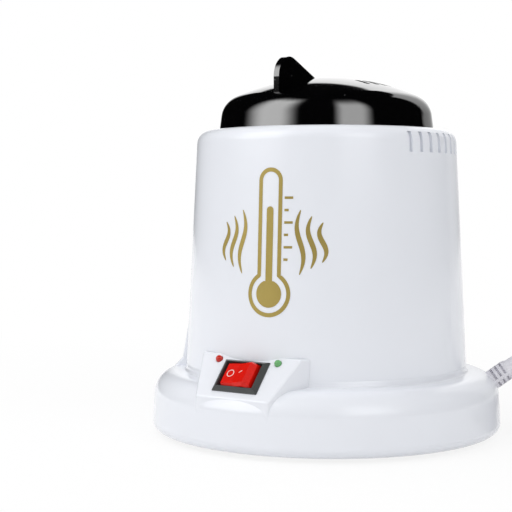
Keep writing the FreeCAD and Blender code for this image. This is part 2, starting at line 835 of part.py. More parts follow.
def make_drum_shell():
    """The tall tapered moulding with its rounded shoulder, collar and side slots."""
    form = new_body("drum_form")
    wall = size.drum_wall
    profile = sketch_on(form, "drum_outline", "XZ_Plane")
    draw(profile, [
        (size.drum_foot_radius - size.drum_foot_flange, seat_z),
        (size.drum_foot_radius, seat_z),
        (size.drum_top_radius, deck_z),
        (size.collar_radius, deck_z),
        (size.collar_radius, collar_z),
        (size.collar_radius - size.collar_wall, collar_z),
        (size.collar_radius - size.collar_wall, deck_z),
        (size.deck_hole_radius, deck_z),
        (size.deck_hole_radius, deck_z - wall),
        (size.drum_top_radius - wall, deck_z - wall),
        (drum_radius_at(seat_z + wall) - wall, seat_z + wall),
        (size.drum_foot_radius - size.drum_foot_flange, seat_z + wall),
    ], rounds={
        1: size.drum_foot_round,
        2: size.drum_shoulder_round,
        9: size.drum_shoulder_round - wall,
        10: size.drum_foot_round - wall,
    })
    revolve(form, profile)
    span = size.side_slot_pitch * (size.side_slot_count - 1)
    slot_top = deck_z - size.side_slot_top
    half = size.side_slot_width / 2
    for side, middle in (("right", size.side_slot_middle), ("left", 180 - size.side_slot_middle)):
        first = middle - span / 2
        reach = size.drum_foot_radius + 4
        sketch = sketch_on(
            form,
            f"{side}_slot",
            "YZ_Plane",
            x=reach * sine(first),
            z=reach * cosine(first),
            axis=Vector(0, 1, 0),
            angle=first,
        )
        draw(sketch, [
            (-half, slot_top - size.side_slot_length),
            (half, slot_top - size.side_slot_length),
            (half, slot_top),
            (-half, slot_top),
        ])
        slot = pocket(form, sketch, reach - size.drum_top_radius + size.side_slot_drop)
        polar(form, slot, size.side_slot_count, span, f"{side}_slots")

    window = box(
        "console_window",
        (-size.window_half_width, -size.drum_foot_radius - 5, seat_z - 1),
        (size.window_half_width * 2, sized(20), size.window_height + 1),
    )
    screw_holes = [window]
    for degrees in (90, 210, 330):
        x, y = around(size.ring_screw_circle, degrees)
        clear = size.screw_radius + size.fit
        screw_holes.append(cylinder(f"deck_screw_{degrees}", clear, 6, x, y, deck_z - 4))
    pierced = cut("drum_pierced", form, fuse("drum_openings", screw_holes))
    bosses = [pierced]
    pilots = []
    for degrees in QUARTERS:
        x, y = around(size.drum_screw_circle, degrees)
        height = size.drum_boss_height
        bosses.append(cylinder(f"drum_boss_{degrees}", size.drum_boss_radius, height, x, y, seat_z))
        web = doc.addObject("Part::Box", f"drum_web_{degrees}")
        bind(web, "Length", drum_radius_at(seat_z + height) - wall / 2 - size.drum_screw_circle)
        bind(web, "Width", wall)
        bind(web, "Height", height)
        across_x, across_y = around(wall / 2, degrees + 90)
        place(web, x - across_x, y - across_y, seat_z, Vector(0, 0, 1), degrees)
        bosses.append(web)
        pilot_depth = size.drum_screw_length + 1
        pilots.append(cylinder(f"drum_pilot_{degrees}", size.screw_radius, pilot_depth, x, y, seat_z - 1))
    bossed = fuse("drum_bossed", bosses)
    return sub_part(cut("drum_shell", bossed, fuse("drum_pilots", pilots)), "drum_shell")


def lid_crown_z(radius, wall=0):
    """Height of the lid's crown at a radius, on its outer face or one wall inside it."""
    crown = size.lid_crown_radius - wall
    centre_z = lid_top_z - size.lid_crown_radius
    return centre_z + root(crown * crown - radius * radius)


def make_lid():
    """The domed cap with its finger fin and vent slots, moulded in one."""
    body = new_body("lid")
    wall = size.lid_wall
    outer = size.lid_shoulder_radius
    inner = outer - wall
    profile = sketch_on(body, "lid_outline", "XZ_Plane")
    draw(profile, [
        (size.lid_radius, deck_z),
        (outer, lid_crown_z(outer)),
        (0, lid_top_z),
        (0, lid_top_z - wall),
        (inner, lid_crown_z(inner, wall)),
        (size.lid_radius - wall, deck_z),
    ], crowns=(1, 3))
    revolve(body, profile)
    round_edges(body, "lid_shoulder", size.lid_shoulder_round, ring_at(outer, lid_crown_z(outer)))
    inner_ring = ring_at(inner, lid_crown_z(inner, wall))
    round_edges(body, "lid_inner_shoulder", size.lid_shoulder_round - wall, inner_ring)

    half_wall = wall / 2
    fin_foot_front = lid_crown_z(size.fin_front, half_wall) - half_wall
    fin_foot_back = lid_crown_z(size.fin_back, half_wall)
    fin_foot_middle = (size.fin_front + size.fin_back) / 2
    fin_back_z = lid_crown_z(size.fin_back)
    fin = sketch_on(body, "fin_outline", "YZ_Plane")
    draw(fin, [
        (-size.fin_front, fin_foot_front),
        (-size.fin_front, deck_z + size.fin_peak),
        (-size.fin_back, fin_back_z),
        (-size.fin_back, fin_foot_back),
        (-fin_foot_middle, lid_crown_z(fin_foot_middle, half_wall)),
    ])
    pad(body, fin, size.fin_thickness, symmetric=True)
    peak = near((0, -size.fin_front, deck_z + size.fin_peak))
    round_edges(body, "fin_peak_round", size.fin_round, peak)

    span = size.lid_slot_pitch * (size.lid_slot_count - 1)
    half = size.lid_slot_width / 2
    for side, middle in (("right", sized(0)), ("left", sized(180))):
        first = middle - span / 2
        sketch = sketch_on(body, f"lid_{side}_slot", "XY_Plane", z=lid_top_z + 1, angle=first)
        draw(sketch, [
            (size.lid_slot_inner, -half),
            (size.lid_slot_outer, -half),
            (size.lid_slot_outer, half),
            (size.lid_slot_inner, half),
        ])
        slot = pocket(body, sketch, 10)
        polar(body, slot, size.lid_slot_count, span, f"lid_{side}_slots")
    return sub_part(body, "lid")


def make_insulating_ring():
    body = new_body("ring_form")
    neck = size.deck_hole_radius - size.loose_fit
    foot_z = ring_top_z - size.ring_neck_depth
    profile = sketch_on(body, "ring_outline", "XZ_Plane")
    draw(profile, [
        (size.ring_bore_radius, foot_z),
        (neck, foot_z),
        (neck, deck_z),
        (size.ring_radius, deck_z),
        (size.ring_radius, ring_top_z),
        (size.ring_bore_radius, ring_top_z),
    ])
    revolve(body, profile)
    holes = []
    screws = []
    nuts = []
    flange_z = deck_z - size.drum_wall - size.shield_wall
    for degrees in (90, 210, 330):
        x, y = around(size.ring_screw_circle, degrees)
        clear = size.screw_radius + size.fit
        holes.append(cylinder(f"ring_hole_{degrees}", clear, 6, x, y, deck_z - 1))
        screws.append(screw(f"ring_screw_{degrees}", x, y, ring_top_z, size.screw_length, False))
        nut = doc.addObject("Part::Prism", f"ring_nut_{degrees}_form")
        nut.Polygon = 6
        bind(nut, "Circumradius", size.nut_radius)
        bind(nut, "Height", size.nut_height)
        place(nut, x, y, flange_z - size.nut_height)
        bore = cylinder(f"ring_nut_{degrees}_bore", size.screw_radius, 6, x, y, flange_z - 5)
        nuts.append(cut(f"ring_nut_{degrees}", nut, bore))
    sub_part(cut("insulating_ring", body, fuse("ring_holes", holes)), "insulating_ring")
    sub_part(group("ring_screws", screws), "ring_screws")
    sub_part(group("ring_nuts", nuts), "ring_nuts")


def make_pot():
    """The deep-drawn steel cup that hangs by its rim."""
    body = new_body("pot")
    profile = sketch_on(body, "pot_outline", "XZ_Plane")
    draw(profile, [
        (0, pot_under_z),
        (pot_radius, pot_under_z),
        (pot_radius, ring_top_z),
        (size.pot_rim_radius, ring_top_z),
        (size.pot_rim_radius, pot_rim_z),
        (size.pot_inner_radius, pot_rim_z),
        (size.pot_inner_radius, pot_floor_z),
        (0, pot_floor_z),
    ], rounds={1: size.pot_floor_round, 6: size.pot_floor_round - size.pot_wall})
    revolve(body, profile)
    return sub_part(body, "pot")


def make_band_heater():
    """A split band round the pot, with two ears that a bolt draws together and two tabs."""
    outer = cylinder("band_outer", band_outer, size.band_height, z=band_foot_z)
    inner = cylinder("band_inner", band_inner, size.band_height + 2, z=band_foot_z - 1)
    half_gap = size.band_gap / 2
    ear = size.band_thickness
    ear_z = band_foot_z + (size.band_height - size.band_ear_height) / 2
    reach = band_outer + size.band_ear_reach
    ears = []
    for side, start in (("right", half_gap), ("left", -half_gap - ear)):
        corner = (start, band_inner + 1, ear_z)
        ears.append(box(f"{side}_ear", corner, (ear, reach - band_inner - 1, size.band_ear_height)))
    tabs = []
    tab_far = size.tab_near + size.tab_width
    tab_face = root(band_outer * band_outer - tab_far * tab_far) - size.fit
    tab_z = band_foot_z - size.tab_length * 0.7
    for side, x in (("right", size.tab_near), ("left", -tab_far)):
        tab = (size.tab_width, size.tab_thickness, size.tab_length)
        tabs.append(box(f"{side}_tab", (x, -tab_face, tab_z), tab))
    solid = fuse("band_solid", [outer] + ears + tabs)
    bolt_y = band_outer + size.band_ear_reach - 4
    bolt_z = ear_z + size.band_ear_height / 2
    gap = box("band_slit", (-half_gap, 0, band_foot_z - 1), (size.band_gap, reach, size.band_height + 2))
    side_length = half_gap + ear
    ear_hole = cylinder(
        "ear_hole", size.screw_radius + size.fit, side_length * 2 + 2,
        -side_length - 1, bolt_y, bolt_z, Vector(0, 1, 0), 90,
    )
    sub_part(cut("band_heater", solid, fuse("band_cuts", [inner, gap, ear_hole])), "band_heater")
    shank = cylinder(
        "bolt_shank", size.screw_radius, side_length * 2 + 6,
        -side_length - 3, bolt_y, bolt_z, Vector(0, 1, 0), 90,
    )
    head = cylinder(
        "bolt_head", size.screw_head_radius, size.screw_head_height,
        side_length, bolt_y, bolt_z, Vector(0, 1, 0), 90,
    )
    nut = cylinder(
        "bolt_nut", size.screw_head_radius, size.nut_height,
        -side_length - size.nut_height, bolt_y, bolt_z, Vector(0, 1, 0), 90,
    )
    sub_part(fuse("heater_bolt", [shank, head, nut]), "heater_bolt")


def make_wrap_and_shield():
    """The glass-fibre blanket round the heater and the sheet-metal shield round both."""
    gap = size.loose_fit
    inner_radius = band_outer + gap
    outer_radius = inner_radius + size.wrap_thickness
    height = size.band_height - 2
    outer = cylinder("wrap_outer", outer_radius, height, z=band_foot_z + 1)
    inner = cylinder("wrap_inner", inner_radius, height + 2, z=band_foot_z)
    slit = box("wrap_slit", (-size.wrap_opening / 2, 0, band_foot_z), (size.wrap_opening, 50, height + 2))
    sub_part(cut("insulation_wrap", outer, fuse("wrap_cuts", [inner, slit])), "insulation_wrap")

    body = new_body("shield_form")
    wall = size.shield_wall
    top_z = deck_z - size.drum_wall
    flange_inner = size.ring_screw_circle - size.screw_head_radius
    foot_z = top_z - size.shield_length
    profile = sketch_on(body, "shield_outline", "XZ_Plane")
    draw(profile, [
        (size.shield_radius, foot_z),
        (size.shield_radius + wall, foot_z),
        (size.shield_radius + wall, top_z),
        (flange_inner, top_z),
        (flange_inner, top_z - wall),
        (size.shield_radius, top_z - wall),
    ])
    revolve(body, profile)
    holes = []
    for degrees in (90, 210, 330):
        x, y = around(size.ring_screw_circle, degrees)
        clear = size.screw_radius + size.fit
        holes.append(cylinder(f"shield_hole_{degrees}", clear, 4, x, y, top_z - 2))
    sub_part(cut("heat_shield", body, fuse("shield_holes", holes)), "heat_shield")


def make_thermostat():
    """A disc thermostat held under the pot by a strap, and a thermal fuse beside the pot."""
    cap_z = pot_under_z - size.thermostat_cap
    body_z = cap_z - size.thermostat_height + size.thermostat_cap
    cap = cylinder("thermostat_cap_form", size.thermostat_radius, size.thermostat_cap, z=cap_z)
    neck_radius = size.thermostat_radius - 0.8
    neck = cylinder("thermostat_neck", neck_radius, cap_z - body_z, z=body_z)
    blades = []
    for side, x in (("right", 3), ("left", -9.3)):
        blades.append(box(f"thermostat_{side}_blade", (x, -3, body_z - 0.8), (6.3, 6, 0.8)))
    sub_part(fuse("thermostat", [cap, neck] + blades), "thermostat")

    wall = size.bracket_wall
    arm_x = pot_radius + size.fit / 3
    strap_z = cap_z - wall
    half = size.bracket_width / 2
    arm_top = band_foot_z - 1
    strap = box("strap_plate", (-arm_x - wall, -half, strap_z), ((arm_x + wall) * 2, half * 2, wall))
    arms = [strap]
    for side, x in (("right", arm_x), ("left", -arm_x - wall)):
        arms.append(box(f"strap_{side}_arm", (x, -half, strap_z), (wall, half * 2, arm_top - strap_z)))
    hole = cylinder("strap_hole", neck_radius + size.fit, 4, z=strap_z - 1)
    sub_part(cut("thermostat_bracket", fuse("strap_form", arms), hole), "thermostat_bracket")

    fuse_x, fuse_y = around(pot_radius + size.fit + size.fuse_radius, 60)
    fuse_z = band_foot_z - 1 - size.fuse_length
    sub_part(cylinder("thermal_fuse", size.fuse_radius, size.fuse_length, fuse_x, fuse_y, fuse_z), "thermal_fuse")


def make_switch():
    """The rocker switch: housing with its bezel, two blades, and the rocker in its off place."""
    body = new_body("switch_body")
    half_length = size.bezel_length / 2
    half_width = size.bezel_width / 2
    bezel = sketch_on(body, "bezel_outline", "XY_Plane")
    draw(bezel, rectangle(half_length, half_width))
    pad(body, bezel, size.bezel_thickness)
    top = near(
        (half_length, 0, size.bezel_thickness),
        (-half_length, 0, size.bezel_thickness),
        (0, half_width, size.bezel_thickness),
        (0, -half_width, size.bezel_thickness),
    )
    bevel_edges(body, "bezel_edge", size.bezel_slope, top)
    case = sketch_on(body, "case_outline", "XY_Plane", z=-size.switch_case_depth)
    draw(case, rectangle(size.switch_case_length / 2, size.switch_case_width / 2))
    pad(body, case, size.switch_case_depth + 0.5)
    well = sketch_on(body, "well_outline", "XY_Plane", z=size.bezel_thickness)
    draw(well, rectangle(half_length - size.bezel_rim, half_width - size.bezel_side_rim))
    pocket(body, well, size.bezel_thickness + size.switch_well_depth)
    hinge = sketch_on(body, "hinge_outline", "XZ_Plane")
    draw_circle(hinge, 0, -size.rocker_pivot_depth, size.rocker_pin_radius + size.running_fit)
    pocket(body, hinge, size.switch_case_width - 0.6, symmetric=True)
    sub_part(on_panel(body), "switch_body")

    blades = []
    for side, x in (("right", size.terminal_spread), ("left", -size.terminal_spread)):
        blade = box(f"{side}_blade", (0, 0, 0), (0.8, 6.3, size.terminal_length))
        depth = size.switch_case_depth + size.terminal_length
        blades.append(on_panel(blade, x - 0.4, -3.15, -depth))
    sub_part(group("switch_terminals", blades), "switch_terminals")

    rocker = new_body("rocker")
    profile = sketch_on(
        rocker,
        "rocker_outline",
        "XZ_Plane",
        y=-size.rocker_pivot_depth,
        angle=size.rocker_throw,
    )
    sweep = size.rocker_sweep_radius
    top_half = size.rocker_top_half
    crest = [
        (-sweep * 0.945, sweep * 0.48),
        (-top_half, size.rocker_top_rise),
        (sized(0), size.rocker_top_rise - size.rocker_dip),
        (top_half, size.rocker_top_rise),
        (sweep * 0.945, sweep * 0.48),
    ]
    draw(profile, crest + [
        (sweep * 0.97, -sweep * 0.22),
        (sweep * 0.6, -sweep * 0.42),
        (-sweep * 0.6, -sweep * 0.42),
        (-sweep * 0.97, -sweep * 0.22),
    ])
    well_half = half_width - size.bezel_side_rim
    pad(rocker, profile, (well_half - size.fit) * 2, symmetric=True)
    spots = []
    for start, end in zip(crest, crest[1:]):
        middle_x, middle_y = (start[0] + end[0]) / 2, (start[1] + end[1]) / 2
        turned_x = middle_x * cosine(size.rocker_throw) - middle_y * sine(size.rocker_throw)
        turned_z = middle_x * sine(size.rocker_throw) + middle_y * cosine(size.rocker_throw)
        for side in (-1, 1):
            spots.append((turned_x, (well_half - size.fit) * side, turned_z - size.rocker_pivot_depth))
    bevel_edges(rocker, "rocker_bevel", size.rocker_bevel, near(*spots))
    pins = sketch_on(rocker, "rocker_pins", "XZ_Plane")
    draw_circle(pins, 0, -size.rocker_pivot_depth, size.rocker_pin_radius)
    pad(rocker, pins, size.switch_case_width - 0.6 - size.fit * 2, symmetric=True)
    sub_part(on_panel(rocker), "rocker")


def rectangle(half_length, half_width):
    return [
        (-half_length, -half_width),
        (half_length, -half_width),
        (half_length, half_width),
        (-half_length, half_width),
    ]


def make_lamps():
    """Two small indicator lamps behind the panel, soldered to one narrow board."""
    for side, across in (("red_lamp", -size.lamp_across), ("green_lamp", size.lamp_across)):
        lens_z = -size.base_wall
        flange = cylinder(f"{side}_flange", size.lamp_flange_radius, 1.0)
        on_panel(flange, across, size.lamp_up, lens_z - 1.0)
        stem = cylinder(f"{side}_stem", size.lamp_radius, size.base_wall + 1.2)
        on_panel(stem, across, size.lamp_up, lens_z - 1.0)
        dome = doc.addObject("Part::Sphere", f"{side}_dome")
        bind(dome, "Radius", size.lamp_radius)
        on_panel(dome, across, size.lamp_up, 0.2)
        legs = []
        leg_length = size.lamp_board_depth - size.base_wall - 1.0
        for number, offset in enumerate((-1.27, 1.27)):
            leg = box(f"{side}_leg_{number}", (0, 0, 0), (0.5, 0.5, leg_length))
            legs.append(on_panel(leg, across + offset - 0.25, size.lamp_up - 0.25, -size.lamp_board_depth))
        sub_part(fuse(side, [flange, stem, dome] + legs), side)
    half = size.lamp_across + size.lamp_board_end
    board_foot = size.switch_case_width / 2 + size.fit
    wall = size.lamp_board_wall
    board = box("lamp_board", (0, 0, 0), (half * 2, size.lamp_board_width, wall))
    sub_part(on_panel(board, -half, board_foot, -size.lamp_board_depth - wall), "lamp_board")


def make_bottom_cover():
    """The bottom cover with its air slots, four rubber feet and four screws."""
    radius = size.base_lip_radius - size.loose_fit
    disc = cylinder("cover_disc", radius, size.cover_thickness, z=cover_foot_z)
    holes = []
    screws = []
    for degrees in QUARTERS:
        x, y = around(size.cover_screw_circle, degrees)
        clear = size.screw_radius + size.fit
        holes.append(cylinder(f"cover_hole_{degrees}", clear, 6, x, y, cover_foot_z - 1))
        screws.append(screw(f"cover_screw_{degrees}", x, y, cover_foot_z, size.screw_length, True))
    for number in range(-4, 5):
        corner = (number * 7 - 1.5, -16, cover_foot_z - 1)
        holes.append(box(f"cover_slot_{number + 4}", corner, (3, 32, size.cover_thickness + 2)))
    foot_names = ("foot_rear_right", "foot_rear_left", "foot_front_left", "foot_front_right")
    stems = []
    for label, degrees in zip(foot_names, (20, 160, 200, 340)):
        x, y = around(size.foot_circle, degrees)
        pad_height = cover_foot_z
        rubber = cylinder(f"{label}_pad", size.foot_radius, pad_height, x, y, 0)
        stem = cylinder(f"{label}_stem", 2.5, size.cover_thickness + 1.5, x, y, cover_foot_z - 0.5)
        barb = cylinder(f"{label}_barb", 3.2, 1.0, x, y, cover_top_z)
        stems.append(cylinder(f"{label}_hole", 2.5 + size.fit, 6, x, y, cover_foot_z - 1))
        sub_part(fuse(label, [rubber, stem, barb]), label)
    sub_part(cut("bottom_cover", disc, fuse("cover_holes", holes + stems)), "bottom_cover")
    sub_part(group("cover_screws", screws), "cover_screws")
    drum_screws = []
    for degrees in QUARTERS:
        x, y = around(size.drum_screw_circle, degrees)
        deck_under = seat_z - size.base_wall
        drum_screws.append(screw(f"drum_screw_{degrees}", x, y, deck_under, size.drum_screw_length, True))
    sub_part(group("drum_screws", drum_screws), "drum_screws")


def make_terminal_block():
    """A three-way terminal block on the bottom cover, a screw well in each tower."""
    left, front = -size.block_length / 2, size.block_place_y
    foot_size = (size.block_length, size.block_width, size.block_foot_height)
    blocks = [box("block_foot", (left, front, cover_top_z), foot_size)]
    tower = (size.block_tower_length, size.block_tower_width, size.block_foot_height)
    tower_y = front + (size.block_width - size.block_tower_width) / 2
    tower_z = cover_top_z + size.block_foot_height - 1
    middle_y = front + size.block_width / 2
    bores = []
    for number in (-1, 0, 1):
        middle = size.block_pitch * number
        corner = (middle - size.block_tower_length / 2, tower_y, tower_z)
        blocks.append(box(f"block_tower_{number + 1}", corner, tower))
        name = f"block_well_{number + 1}"
        bores.append(cylinder(name, size.block_tower_length / 4, 5, middle, middle_y, tower_z + 3))
    solid = fuse("block_solid", blocks)
    sub_part(cut("terminal_block", solid, fuse("block_wells", bores)), "terminal_block")


def tube_path(points, bore):
    """A tube of straight runs joined by tangent arcs, with the radii of the arcs in millimetres."""
    radii = []
    edges = []
    start = points[0]
    for number in range(1, len(points) - 1):
        before, corner, after = points[number - 1], points[number], points[number + 1]
        inward = (corner - before).normalize()
        outward = (after - corner).normalize()
        turn = inward.getAngle(outward)
        shorter = min((corner - before).Length, (after - corner).Length)
        trim = 0.45 * shorter
        radii.append(trim / math.tan(turn / 2))
        arc_start = corner - inward * trim
        arc_end = corner + outward * trim
        bisector = (outward - inward).normalize()
        depth = radii[-1] * (1 / math.cos(turn / 2) - 1)
        edges.append(Part.LineSegment(start, arc_start).toShape())
        edges.append(Part.Arc(arc_start, corner + bisector * depth, arc_end).toShape())
        start = arc_end
    edges.append(Part.LineSegment(start, points[-1]).toShape())
    wire = Part.Wire(edges)
    heading = (points[1] - points[0]).normalize()
    section = Part.Wire([Part.Circle(points[0], heading, bore).toShape()])
    solid = wire.makePipeShell([section], True, True)
    expected = math.pi * bore**2 * wire.Length
    if abs(solid.Volume - expected) > 0.01 * expected:
        raise RuntimeError("a tube's volume differs from its section times its length")
    return solid, radii, wire.Length


def free_shape(label, shape):
    feature = doc.addObject("Part::Feature", label)
    feature.Shape = shape
    return sub_part(feature, label)


def vector(triple):
    return Vector(*(sized(number).value for number in triple))


def make_strain_relief():
    """The moulded sleeve: an inner head, a neck through the wall, a ribbed collar and a nose."""
    body = new_body("strain_relief")
    collar = size.fit
    profile = sketch_on(body, "relief_outline", "XZ_Plane")
    neck = size.relief_neck_radius
    draw(profile, [
        (0, -7),
        (neck + 1.8, -7),
        (neck + 1.8, -5),
        (neck, -5),
        (neck, collar),
        (size.relief_radius, collar),
        (size.relief_radius, collar + size.relief_ribbed),
        (size.relief_tip_radius + 0.5, collar + size.relief_ribbed + 2),
        (size.relief_tip_radius, size.relief_length),
        (0, size.relief_length),
    ])
    revolve(body, profile)
    sub_part(along_exit(body, sized(0)), "strain_relief")


def cord_spot(out, aside, z):
    """A point of the cord's route: outwards from the relief's tip, aside, and a height."""
    tip = vector(exit_point(size.relief_length))
    heading = Vector(exit_sine.value, -exit_cosine.value, 0)
    across = Vector(-heading.y, heading.x, 0)
    return Vector(tip.x, tip.y, 0) + heading * out + across * aside + Vector(0, 0, z)


def make_mains_cord():
    """The free cord: a tube from the strain relief, a tied coil on the floor, and the plug."""
    tip = vector(exit_point(size.relief_length))
    cord = size.cord_radius.value
    rise = math.radians(size.exit_slope.value)
    straight = 17
    top_turn = size.coil_height.value - cord
    route = [
        tip,
        cord_spot(straight * math.cos(rise), 0, tip.z + straight * math.sin(rise)),
        cord_spot(31, 1.5, 52),
        cord_spot(48.3, 5.5, 47),
        cord_spot(62, 12, 34),
        cord_spot(72.5, 19.6, 19.5),
        cord_spot(80.5, 31.5, 11),
        cord_spot(85, 45, top_turn),
    ]
    tube, radii, length = tube_path(route, cord)
    print("cord radii", [round(radius, 1) for radius in radii], "tube length", round(length, 1))
    free_shape("mains_cord", tube)

    arrival = route[-1] - route[-2]
    arrival.z = 0
    inward = Vector(0, 0, 1).cross(arrival).normalize()
    centre = route[-1] + inward * (size.coil_radius.value + cord)
    centre.z = 0
    half = size.coil_width / 2
    coil = new_body("cord_coil")
    profile = sketch_on(coil, "coil_outline", "XZ_Plane")
    draw(profile, [
        (size.coil_radius - half, 0),
        (size.coil_radius + half, 0),
        (size.coil_radius + half, size.coil_height),
        (size.coil_radius - half, size.coil_height),
    ], rounds=dict.fromkeys(range(4), size.coil_round))
    revolve(coil, profile)
    heading = size.exit_angle.value - 90
    turned = Rotation(Vector(0, 0, 1), heading)
    coil.Placement = Placement(centre, turned)
    sub_part(coil, "cord_coil")

    wall = sized(1)
    gap = size.fit
    band = box(
        "tie_outer",
        (-2, size.coil_radius - half - gap - wall, 0),
        (4, size.coil_width + (gap + wall) * 2, size.coil_height + gap + wall),
    )
    inside = box(
        "tie_inner",
        (-3, size.coil_radius - half - gap, -1),
        (6, size.coil_width + gap * 2, size.coil_height + gap + 1),
    )
    tie = cut("cord_tie", band, inside)
    tie.Placement = Placement(centre, turned)
    sub_part(tie, "cord_tie")

    plug_height = size.plug_thickness / 2
    start = size.plug_sleeve + 14
    plug = new_body("plug_form")
    plan = sketch_on(plug, "plug_plan", "XY_Plane")
    half_plug = size.plug_width / 2
    back = half_plug * 0.42
    outline = [
        (start, -back),
        (start + size.plug_length * 0.45, -half_plug),
        (start + size.plug_length, -half_plug),
        (start + size.plug_length, half_plug),
        (start + size.plug_length * 0.45, half_plug),
        (start, back),
    ]
    draw(plan, outline)
    pad(plug, plan, size.plug_thickness, symmetric=True)
    round_edges(plug, "plug_edges", size.plug_round, lying_at(plug_height))
    sleeve = doc.addObject("Part::Cone", "plug_sleeve")
    bind(sleeve, "Radius1", size.cord_radius + 0.6)
    bind(sleeve, "Radius2", back * 0.8)
    bind(sleeve, "Height", size.plug_sleeve + 2)
    place(sleeve, start - size.plug_sleeve, 0, 0, Vector(0, 1, 0), 90)
    body = fuse("plug_body", [plug, sleeve])
    pins = []
    for side in (-1, 1):
        y = size.plug_pin_spacing / 2 * side
        pins.append(cylinder(
            f"plug_pin_{side + 1}", size.plug_pin_radius, size.plug_pin_length,
            start + size.plug_length, y, 0, Vector(0, 1, 0), 90,
        ))
    lie = turned.multiply(Rotation(Vector(0, 0, 1), -90))
    outer_turn = size.coil_radius.value + half.value - cord
    origin = centre - turned.multVec(Vector(outer_turn, 0, 0)) + Vector(0, 0, plug_height.value)
    for feature, label in ((body, "plug_body"), (group("plug_pins", pins), "plug_pins")):
        feature.Placement = Placement(origin, lie)
        sub_part(feature, label)


def lying_at(height):
    """A test for the edges that lie level at a height above or below zero."""
    height = sized(height).value

    def wanted(edge):
        return all(abs(abs(vertex.Z) - height) < 0.01 for vertex in edge.Vertexes) and (
            abs(edge.Vertexes[0].Z - edge.Vertexes[-1].Z) < 0.01
        )

    return wanted


make_base_shell()
make_drum_shell()
make_lid()
make_insulating_ring()
make_pot()
make_band_heater()
make_wrap_and_shield()
make_thermostat()
make_switch()
make_lamps()
make_bottom_cover()
make_terminal_block()
make_strain_relief()
make_mains_cord()

doc.recompute()
for item in doc.Objects:
    if "Invalid" in item.State or "Error" in item.State:
        raise RuntimeError(f"{item.Label} failed: {item.State}")
os.makedirs("parts", exist_ok=True)
for item in SUB_PARTS:
    if item.Shape.isNull() or not item.Shape.isValid():
        raise RuntimeError(f"{item.Label} has no valid shape")
    item.Shape.exportStep(f"parts/{item.Label}.step")
    print(item.Label, len(item.Shape.Solids), round(item.Shape.Volume))
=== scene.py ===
import logging
import math
from dataclasses import dataclass
from enum import Enum

import bmesh
import bpy
from mathutils import Matrix, Vector


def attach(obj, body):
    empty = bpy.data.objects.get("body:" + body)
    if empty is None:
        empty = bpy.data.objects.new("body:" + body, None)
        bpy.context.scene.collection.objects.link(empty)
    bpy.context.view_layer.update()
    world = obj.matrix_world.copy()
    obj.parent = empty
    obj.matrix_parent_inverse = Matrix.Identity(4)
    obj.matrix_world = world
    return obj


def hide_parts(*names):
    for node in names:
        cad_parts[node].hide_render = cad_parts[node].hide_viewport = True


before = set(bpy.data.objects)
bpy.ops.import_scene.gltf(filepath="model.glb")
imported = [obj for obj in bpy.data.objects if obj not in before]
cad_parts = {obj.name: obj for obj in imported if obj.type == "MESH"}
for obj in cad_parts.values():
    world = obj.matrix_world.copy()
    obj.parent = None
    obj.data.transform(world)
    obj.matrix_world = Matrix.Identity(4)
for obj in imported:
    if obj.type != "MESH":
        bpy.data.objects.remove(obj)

Socket = bpy.types.NodeSocket
Colour = tuple[float, float, float]
Point = tuple[float, float, float]
Profile = tuple[tuple[float, float], ...]

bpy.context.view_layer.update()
LOG = logging.getLogger("sterilizer")
MM = 0.001
BODY = "sterilizer"
WHITE = (1, 1, 1, 1)

# Points that are closer than this, in millimetres, become one
MERGE = 0.0005

# Most of a noise texture's values lie between these two
NOISE_LOW, NOISE_HIGH = 0.3, 0.7

# How many bands to a metre the wave texture has at a scale of 1
WAVES_PER_METRE = 3.18

# The Mix node's sockets when it mixes colours
MIX_FACTOR, MIX_FIRST, MIX_SECOND, MIX_RESULT = 0, 6, 7, 2

# The sloping panel's middle and its tilt
PANEL_Y = -67.7 * MM
PANEL_Z = 31.4 * MM
PANEL_TILT = math.atan2(15.8, 14.6)


class Grain(Enum):
    """How a moulded surface is textured: pitch, octaves, depth and strength of its bumps."""

    POLISHED = (0.02, 1, 0.00002, 0.5)
    PEEL = (0.0016, 2, 0.00001, 0.6)
    SPARK = (0.0004, 3, 0.00004, 0.8)


